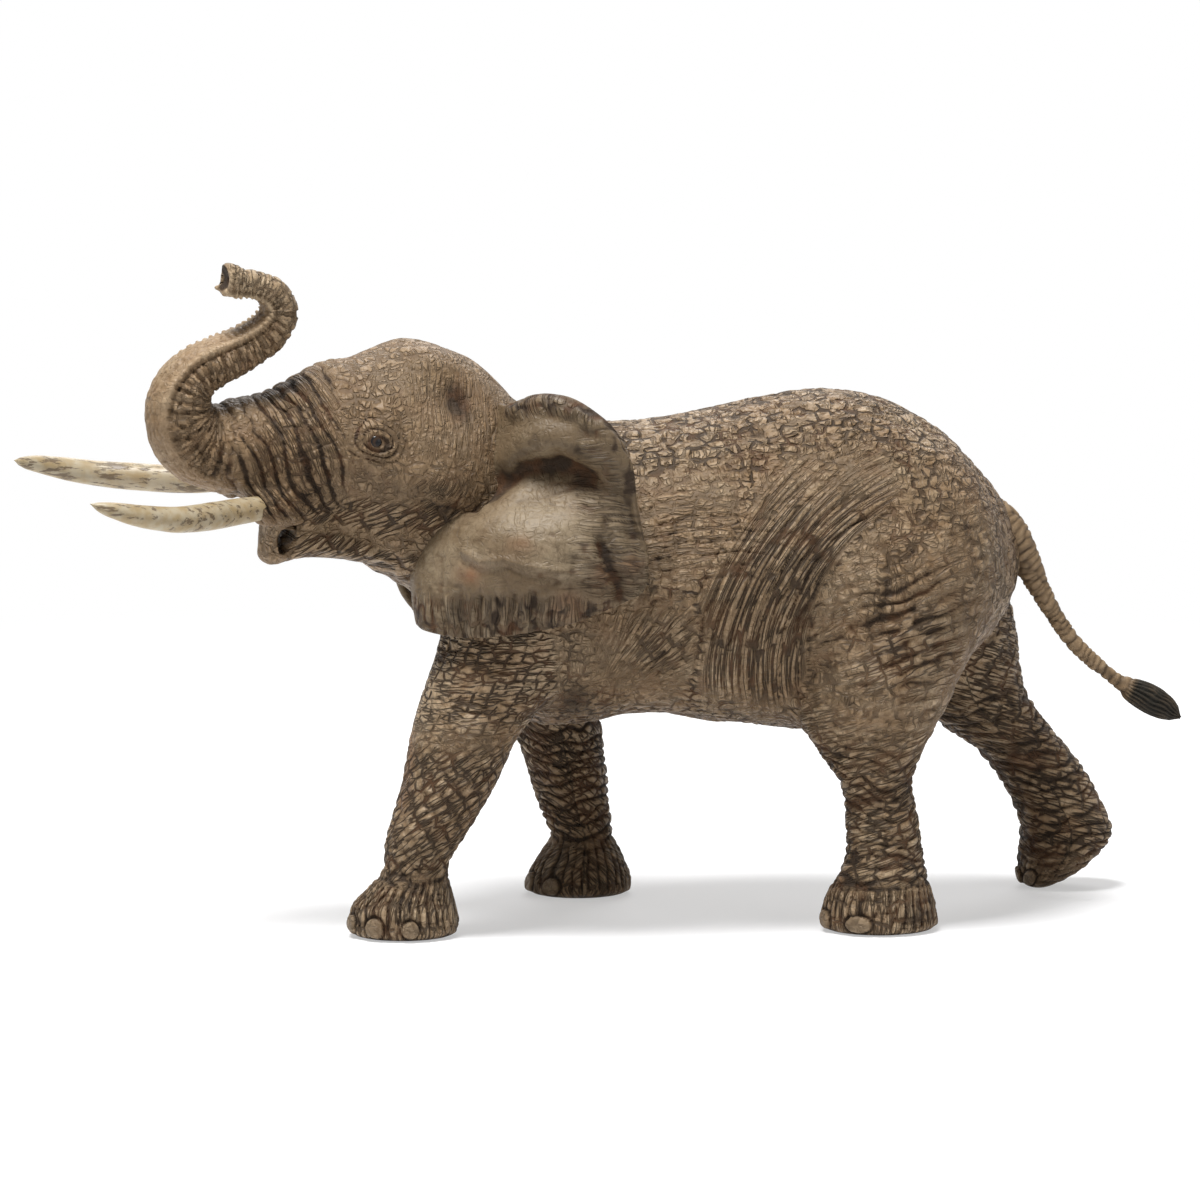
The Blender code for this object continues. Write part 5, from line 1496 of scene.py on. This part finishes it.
def ear_surface(rows, columns):
    """The ear's middle surface: a cubic through the net's rows, then through its columns."""
    net = EAR.reshape(len(EAR), -1)
    _, down = smooth_rows(np.column_stack([np.arange(len(net)), net]), rows)
    down = down.reshape(rows, EAR.shape[1], 3).transpose(1, 0, 2).reshape(EAR.shape[1], -1)
    _, out = smooth_rows(np.column_stack([np.arange(EAR.shape[1]), down]), columns)
    return out.reshape(columns, rows, 3).transpose(1, 0, 2)


def make_ears(sizes, colours):
    """Each ear is a soft sheet: the middle surface moved along its normal by half its thickness to both sides
    and closed round its edge. Its outer side carries the roll along the top and rear, the hollow under it, the
    pleats of the hem and the crease at the rear. Shade is painted into the hollow, the crease and the pleats,
    and a highlight onto the lit middle of the ear."""
    made = []
    # the ear's dark colour, of its wash and of the painted shade in the hollow under the roll
    material = skin_material("ear_paint", colours.ear_light, colours.ear_middle, (0.024, 0.014, 0.0075))
    rows = columns = 190
    share = ear_surface(rows, columns)
    v, u = np.meshgrid(np.linspace(0, 1, rows), np.linspace(0, 1, columns), indexing="ij")
    reach, rise = -share[..., 0] * EAR_SPAN, share[..., 1] * EAR_SPAN + 1.8
    near = from_head(reach, -share[..., 2] * EAR_SPAN, rise).reshape(-1, 3)
    px, py = (a.reshape(u.shape) for a in photo_place(near))
    w1 = cloud(near, 6.0, 41).reshape(u.shape)
    w2 = cloud(near, 2.2, 42).reshape(u.shape)
    w3 = cloud(near, 1.0, 43).reshape(u.shape)
    px, py = px + 2.5 * w1 + 1.5 * w2, py + 2.5 * w2
    edge = np.minimum.reduce([v / 0.03, (1 - v) / 0.03, u / 0.03, (1 - u) / 0.03])
    rim = np.sqrt(1 - (1 - np.clip(edge, 0, 1)) ** 2)
    relief, shade = np.zeros_like(u), np.zeros_like(u)
    # lines sunk into the ear get painted shade, darkest in the hollow under the roll and in the crease
    for knots, height, width in EAR_LINES:
        line = stroke(px, py, knots, width)
        relief = relief + height * line
        shade = np.maximum(shade, line**1.5 * np.clip(-height * 0.62, 0, 1))
    for mx, my, rx, ry, height in EAR_BUMPS:
        relief = relief + height * spot(px, py, mx, my, rx, ry)
    rust = sum(spot(px, py, *patch) for patch in EAR_RUST) * (0.35 + 0.5 * w2)
    level = web(near, (4.0, 3.0, 0.85), 44, 0.26).reshape(u.shape)
    upright = web(near, (0.95, 2.0, 3.0), 45, 0.26).reshape(u.shape)
    on_roll = stroke(px, py, EAR_LINES[0][0], 13)
    hem = ramp(585, 605, py)
    depth = 0.16 * level * (0.4 + 0.6 * ramp(520, 600, px)) + 0.20 * upright * np.clip(on_roll + hem, 0, 1)
    depth = depth + 0.06 * np.clip(w3, 0, 1)
    above = ramp(12, 0, py - np.interp(px, (515, 548, 575, 600, 621), (404, 396, 402, 416, 440)))
    # the wash holds the furrows' wash, the painted shade of the sunk lines and a darker band along the top edge
    wash = np.clip(depth / 0.26 + shade + 0.30 * above, 0, 1)
    # paler dry brush on raised places, and a painted highlight on the lit middle of the ear
    high = np.clip(0.40 - depth / 0.2 + 0.5 * w1 + 0.35 * w2 + 0.9 * spot(px, py, 555, 520, 60, 40), 0, 1)
    high = high * (1 - shade) * (1 - 0.7 * above)
    p, q, share_of_net = strongest([
        (0.10 + 0.45 * ramp(560, 610, px), px / 36, py / 7.5),
        (0.6 * np.clip(on_roll + hem, 0, 1), py / 30, px / 9.5),
    ])
    net_values = np.stack([p, q, 0 * p], -1)
    thick = 0.75 * rim
    for name, side in (("left_ear", LEFT), ("right_ear", RIGHT)):
        middle = from_head(reach, side * share[..., 2] * EAR_SPAN, rise)
        if side == RIGHT:
            hinge = from_head(
                -EAR_HINGE[0] * EAR_SPAN, side * EAR_HINGE[2] * EAR_SPAN, EAR_HINGE[1] * EAR_SPAN
            )
            swing = np.array(Matrix.Rotation(-FAR_EAR_FOLD, 3, "Z") @ Matrix.Rotation(-FAR_EAR_SWING, 3, "Y"))
            local = (middle - hinge) @ HEAD_TURN @ swing.T
            local[..., 2] -= FAR_EAR_DROP
            middle = local @ HEAD_TURN.T + hinge
        normal = unit(np.cross(np.gradient(middle, axis=1), np.gradient(middle, axis=0)))
        if np.einsum("ijk,ijk->", normal, np.broadcast_to((0.0, side, 0.0), normal.shape)) < 0:
            normal = -normal
        outer = middle + normal * (thick + rim * (relief - depth))[..., None]
        inner = middle - normal * (thick - rim * 0.6 * np.minimum(relief, 0) + 0.1 * rim * level)[..., None]
        outer_ids = np.arange(rows * columns).reshape(rows, columns)
        inner_ids = outer_ids + rows * columns
        on_edge = np.zeros((rows, columns), bool)
        on_edge[[0, -1]] = True
        on_edge[:, [0, -1]] = True
        inner_ids[on_edge] = outer_ids[on_edge]
        quads = grid_quads(rows, columns, False)
        faces = np.concatenate([quads, inner_ids.ravel()[quads][:, ::-1]])
        points = np.concatenate([outer.reshape(-1, 3), inner.reshape(-1, 3)])
        used, faces = np.unique(faces, return_inverse=True)
        faces = faces.reshape(-1, 4)
        tris = np.concatenate([faces[:, [0, 1, 2]], faces[:, [0, 2, 3]]])
        values = {
            "wash": np.concatenate([wash.ravel(), wash.ravel() * 0.5])[used],
            "high": np.concatenate([high.ravel(), high.ravel() * 0.6])[used],
            "rust": np.concatenate([rust.ravel(), rust.ravel() * 0])[used],
            "nail": np.zeros(len(used)),
            "cells": np.concatenate([net_values.reshape(-1, 3), net_values.reshape(-1, 3) + 90])[used],
            "net": np.concatenate([share_of_net.ravel(), share_of_net.ravel()])[used],
            "blocky": np.zeros(len(used)),
        }
        mesh = new_mesh(name + "_skin", place(points[used]), outward(points[used], tris))
        set_values(mesh, values)
        made.append(finish_piece(name + "_skin", mesh, material, name))
    return made


def make_tail(sizes, colours):
    """A ring carried along the tail, with ring folds that turn to bristle furrows along the tuft."""
    rump = np.array(((1 - TORSO_FRONT) * TORSO_LENGTH, 0.0, BELLY + 0.483 * TORSO_HEIGHT))
    line = np.column_stack([TAIL[:, 0] * TAIL_REACH, TAIL[:, 0] * 0, TAIL[:, 1] * TAIL_REACH]) + rump
    path, run = smooth_path(np.column_stack([line, TAIL[:, 2] * TAIL_RADIUS]), 300)
    line, radius = path[:, :3], path[:, 3]
    along = unit(np.gradient(line, axis=0))
    across = np.broadcast_to(np.array((0.0, 1.0, 0.0)), along.shape)
    up = np.cross(across, along)
    columns = 90
    turn = np.linspace(0, 2 * np.pi, columns, endpoint=False)
    s = np.broadcast_to(run[:, None], (len(run), columns))
    t = np.broadcast_to(turn[None, :], s.shape)
    left = run[-1] - s
    r = np.broadcast_to(radius[:, None], s.shape) * np.sqrt(np.clip(left / 1.4, 0.02, 1))
    where = line[:, None, :] + r[..., None] * (
        np.cos(t)[..., None] * across[:, None, :] + np.sin(t)[..., None] * up[:, None, :]
    )
    w1 = cloud(where.reshape(-1, 3), 4.0, 51).reshape(s.shape)
    w2 = cloud(where.reshape(-1, 3), 1.6, 52).reshape(s.shape)
    tuft = ramp(11.5, 9.5, left)
    flat = where.reshape(-1, 3)
    slant = web(flat, (2.4, 2.4, 0.9), 53, 0.3, 0.6).reshape(s.shape)
    rings = (0.20 * groove(s / 1.45 + 0.9 * w1 + 0.4 * w2, 1.6) + 0.18 * slant) * (1 - tuft)
    bristle = (0.62 * groove(t * 19 / (2 * np.pi) + 0.9 * w1 + 0.3 * w2, 1.2) + 0.2 * w2) * tuft
    depth = rings + bristle
    where = where - unit(where - line[:, None, :]) * (depth * sizes.fold_depth - 0.15 * tuft * w2)[..., None]
    values = {
        "wash": np.clip(depth / 0.3, 0, 1), "high": np.clip(0.6 - depth / 0.2 + 0.3 * w1, 0, 1), "tuft": tuft,
    }
    points, tris, values = closed_tube(where, values)
    mesh = new_mesh("tail_skin", place(points), outward(points, tris))
    set_values(mesh, values)
    return [finish_piece("tail_skin", mesh, tail_material(colours), "tail")]


def make_eyes(sizes, colours):
    """Each eyeball is a ball on a grid of latitude and longitude, set in its socket."""
    material = eye_material()
    made = []
    rows, columns = 40, 64
    lat = np.linspace(0.02, np.pi - 0.02, rows)[:, None]
    lon = np.linspace(0, 2 * np.pi, columns, endpoint=False)[None, :]
    er, ea, ez = EYE_PLACE
    for name, side in (("left_eye", LEFT), ("right_eye", RIGHT)):
        line = from_head(er, side * np.arange(9.0, 20.0, 0.05), ez)
        surface = line[np.argmax(skin_field(line) > 0)]
        out = HEAD_TURN @ np.array((0.0, side, 0.12))
        centre = surface - out / np.linalg.norm(out) * (sizes.eye_radius * 1000 - 0.95)
        out = out / np.linalg.norm(out)
        a = unit(np.cross(out, (0.0, 0.0, 1.0)))
        b = np.cross(out, a)
        ball = (np.cos(lat) + 0 * lon, np.sin(lat) * np.cos(lon), np.sin(lat) * np.sin(lon))
        ahead, level, upright = (share[..., None] for share in ball)
        where = centre + sizes.eye_radius * 1000 * (ahead * out + level * a + upright * b)
        values = {"wash": np.broadcast_to(ramp(0.25, 0.5, lat) * ramp(0.75, 0.6, lat), where.shape[:2])}
        points, tris, values = closed_tube(where, values)
        mesh = new_mesh(name, place(points), outward(points, tris))
        set_values(mesh, values)
        made.append(finish_piece(name, mesh, material, None))
    return made


def plainly_seen():
    """1 for what the camera sees straight, in a mirror or through glass, and 0 for what lights surfaces."""
    kinds = ("Camera", "Glossy", "Transmission")
    camera, glossy, through = (Sum.node("ShaderNodeLightPath", output=f"Is {kind} Ray") for kind in kinds)
    return Sum.maths("MAXIMUM", Sum.maths("MAXIMUM", camera, glossy), through)


def make_stage():
    """Pale floor, lamps and the camera at the photograph's viewing angle."""
    scene = bpy.context.scene
    scene.view_settings.view_transform = "Standard"
    floor = bpy.data.objects.new("floor", new_mesh(
        "floor", np.array([(-3, -3, 0), (3, -3, 0), (3, 3, 0), (-3, 3, 0)], float), np.array([[0, 1, 2, 3]])
    ))
    scene.collection.objects.link(floor)
    material, shader, where = start_material("floor_paint")
    shader.inputs["Base Color"].default_value = (0.93, 0.93, 0.94, 1)
    shader.inputs["Roughness"].default_value = 0.9
    shader.inputs["Specular IOR Level"].default_value = 0.1
    spread = Sum.node("ShaderNodeVectorMath", {0: where}, output=1, operation="LENGTH").ramp(0.16, 0.42)
    glow = Sum.node("ShaderNodeEmission", {"Color": (1, 1, 1, 1), "Strength": 1.0})
    seen = plainly_seen()
    share = Sum.maths("MAXIMUM", spread, seen * 0.45)
    both = Sum.node("ShaderNodeMixShader", {0: share, 1: Sum(shader.outputs[0]), 2: glow})
    Sum.feed(Sum.tree.nodes["Material Output"].inputs["Surface"], both)
    floor.data.materials.append(material)

    world = bpy.data.worlds.new("studio")
    scene.world = world
    world.use_nodes = True
    Sum.tree = world.node_tree
    background = world.node_tree.nodes["Background"]
    seen = plainly_seen()
    Sum.feed(background.inputs["Color"], Sum.mix(seen, (1.0, 0.97, 0.93), (1.0, 1.0, 1.0)))
    Sum.feed(background.inputs["Strength"], seen * 0.77 + 0.23)

    for name, spot_at, aim, size, watts in (
        ("key", (-0.22, -0.19, 1.06), (0.0, 0.0, 0.05), 0.40, 19.5),
        ("fill", (0.75, -0.75, 0.45), (0.0, 0.0, 0.05), 0.6, 1.2),
        ("back", (0.15, 0.8, 0.7), (0.0, 0.0, 0.06), 0.5, 3.5),
    ):
        lamp = bpy.data.lights.new(name, "AREA")
        lamp.size, lamp.energy = size, watts
        holder = bpy.data.objects.new(name, lamp)
        holder.location = spot_at
        holder.rotation_euler = (Vector(aim) - Vector(spot_at)).to_track_quat("-Z", "Y").to_euler()
        scene.collection.objects.link(holder)

    camera = bpy.data.objects.new("camera", bpy.data.cameras.new("camera"))
    scene.collection.objects.link(camera)
    scene.camera = camera
    azimuth, elevation, distance = math.radians(-4.5), math.radians(7.4), 2.0
    camera.data.lens, camera.data.sensor_width = 342.0, 36.0
    camera.data.clip_start, camera.data.clip_end = 0.1, 20.0
    back = Vector((
        math.sin(azimuth) * math.cos(elevation), -math.cos(azimuth) * math.cos(elevation), math.sin(elevation)
    ))
    camera.location = Vector(place((0.0, 0.0, 55.6))) + back * distance
    camera.rotation_euler = (-back).to_track_quat("-Z", "Y").to_euler()


# Operators and panel


def run_maker(maker):
    """Runs one maker with the scene's sizes and colours; a failure stops the script."""
    made = maker(bpy.context.scene.elephant_sizes, bpy.context.scene.elephant_colours)
    if not made:
        raise RuntimeError(f"{maker.__name__} made nothing")
    return {"FINISHED"}


class ELEPHANT_OT_skin(bpy.types.Operator):
    """Make the skin of the body shells, legs, head, lower jaw and trunk"""

    bl_idname = "elephant.skin"
    bl_label = "Body, Legs, Head and Trunk"

    def execute(self, context):
        return run_maker(make_skin)


class ELEPHANT_OT_tusks(bpy.types.Operator):
    """Make the two streaked tusks"""

    bl_idname = "elephant.tusks"
    bl_label = "Tusks"

    def execute(self, context):
        return run_maker(make_tusks)


class ELEPHANT_OT_ears(bpy.types.Operator):
    """Make the two pleated ears"""

    bl_idname = "elephant.ears"
    bl_label = "Ears"

    def execute(self, context):
        return run_maker(make_ears)


class ELEPHANT_OT_tail(bpy.types.Operator):
    """Make the tail and its tuft"""

    bl_idname = "elephant.tail"
    bl_label = "Tail"

    def execute(self, context):
        return run_maker(make_tail)


class ELEPHANT_OT_eyes(bpy.types.Operator):
    """Make the two glossy eyes"""

    bl_idname = "elephant.eyes"
    bl_label = "Eyes"

    def execute(self, context):
        return run_maker(make_eyes)


class ELEPHANT_OT_stage(bpy.types.Operator):
    """Make the floor, lamps and camera"""

    bl_idname = "elephant.stage"
    bl_label = "Stage"

    def execute(self, context):
        make_stage()
        return {"FINISHED"}


OPERATORS = (
    ELEPHANT_OT_skin, ELEPHANT_OT_tusks, ELEPHANT_OT_ears, ELEPHANT_OT_tail, ELEPHANT_OT_eyes,
    ELEPHANT_OT_stage,
)


class ELEPHANT_PT_looks(bpy.types.Panel):
    """Sizes, colours and makers of the toy elephant"""

    bl_idname = "ELEPHANT_PT_looks"
    bl_label = "Toy Elephant"
    bl_space_type = "VIEW_3D"
    bl_region_type = "UI"
    bl_category = "Toy Elephant"

    def draw(self, context):
        for group in (context.scene.elephant_sizes, context.scene.elephant_colours):
            for name in group.__annotations__:
                self.layout.prop(group, name)
        for operator in OPERATORS:
            self.layout.operator(operator.bl_idname)


CLASSES = (ElephantSizes, ElephantColours, *OPERATORS, ELEPHANT_PT_looks)


def register():
    for cls in CLASSES:
        bpy.utils.register_class(cls)
    bpy.types.Scene.elephant_sizes = PointerProperty(type=ElephantSizes)
    bpy.types.Scene.elephant_colours = PointerProperty(type=ElephantColours)


def unregister():
    del bpy.types.Scene.elephant_colours
    del bpy.types.Scene.elephant_sizes
    for cls in reversed(CLASSES):
        bpy.utils.unregister_class(cls)


def main():
    """Registers the add-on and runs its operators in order."""
    register()
    for operator in OPERATORS:
        group, name = operator.bl_idname.split(".")
        getattr(getattr(bpy.ops, group), name)()


if __name__ == "__main__":
    main()
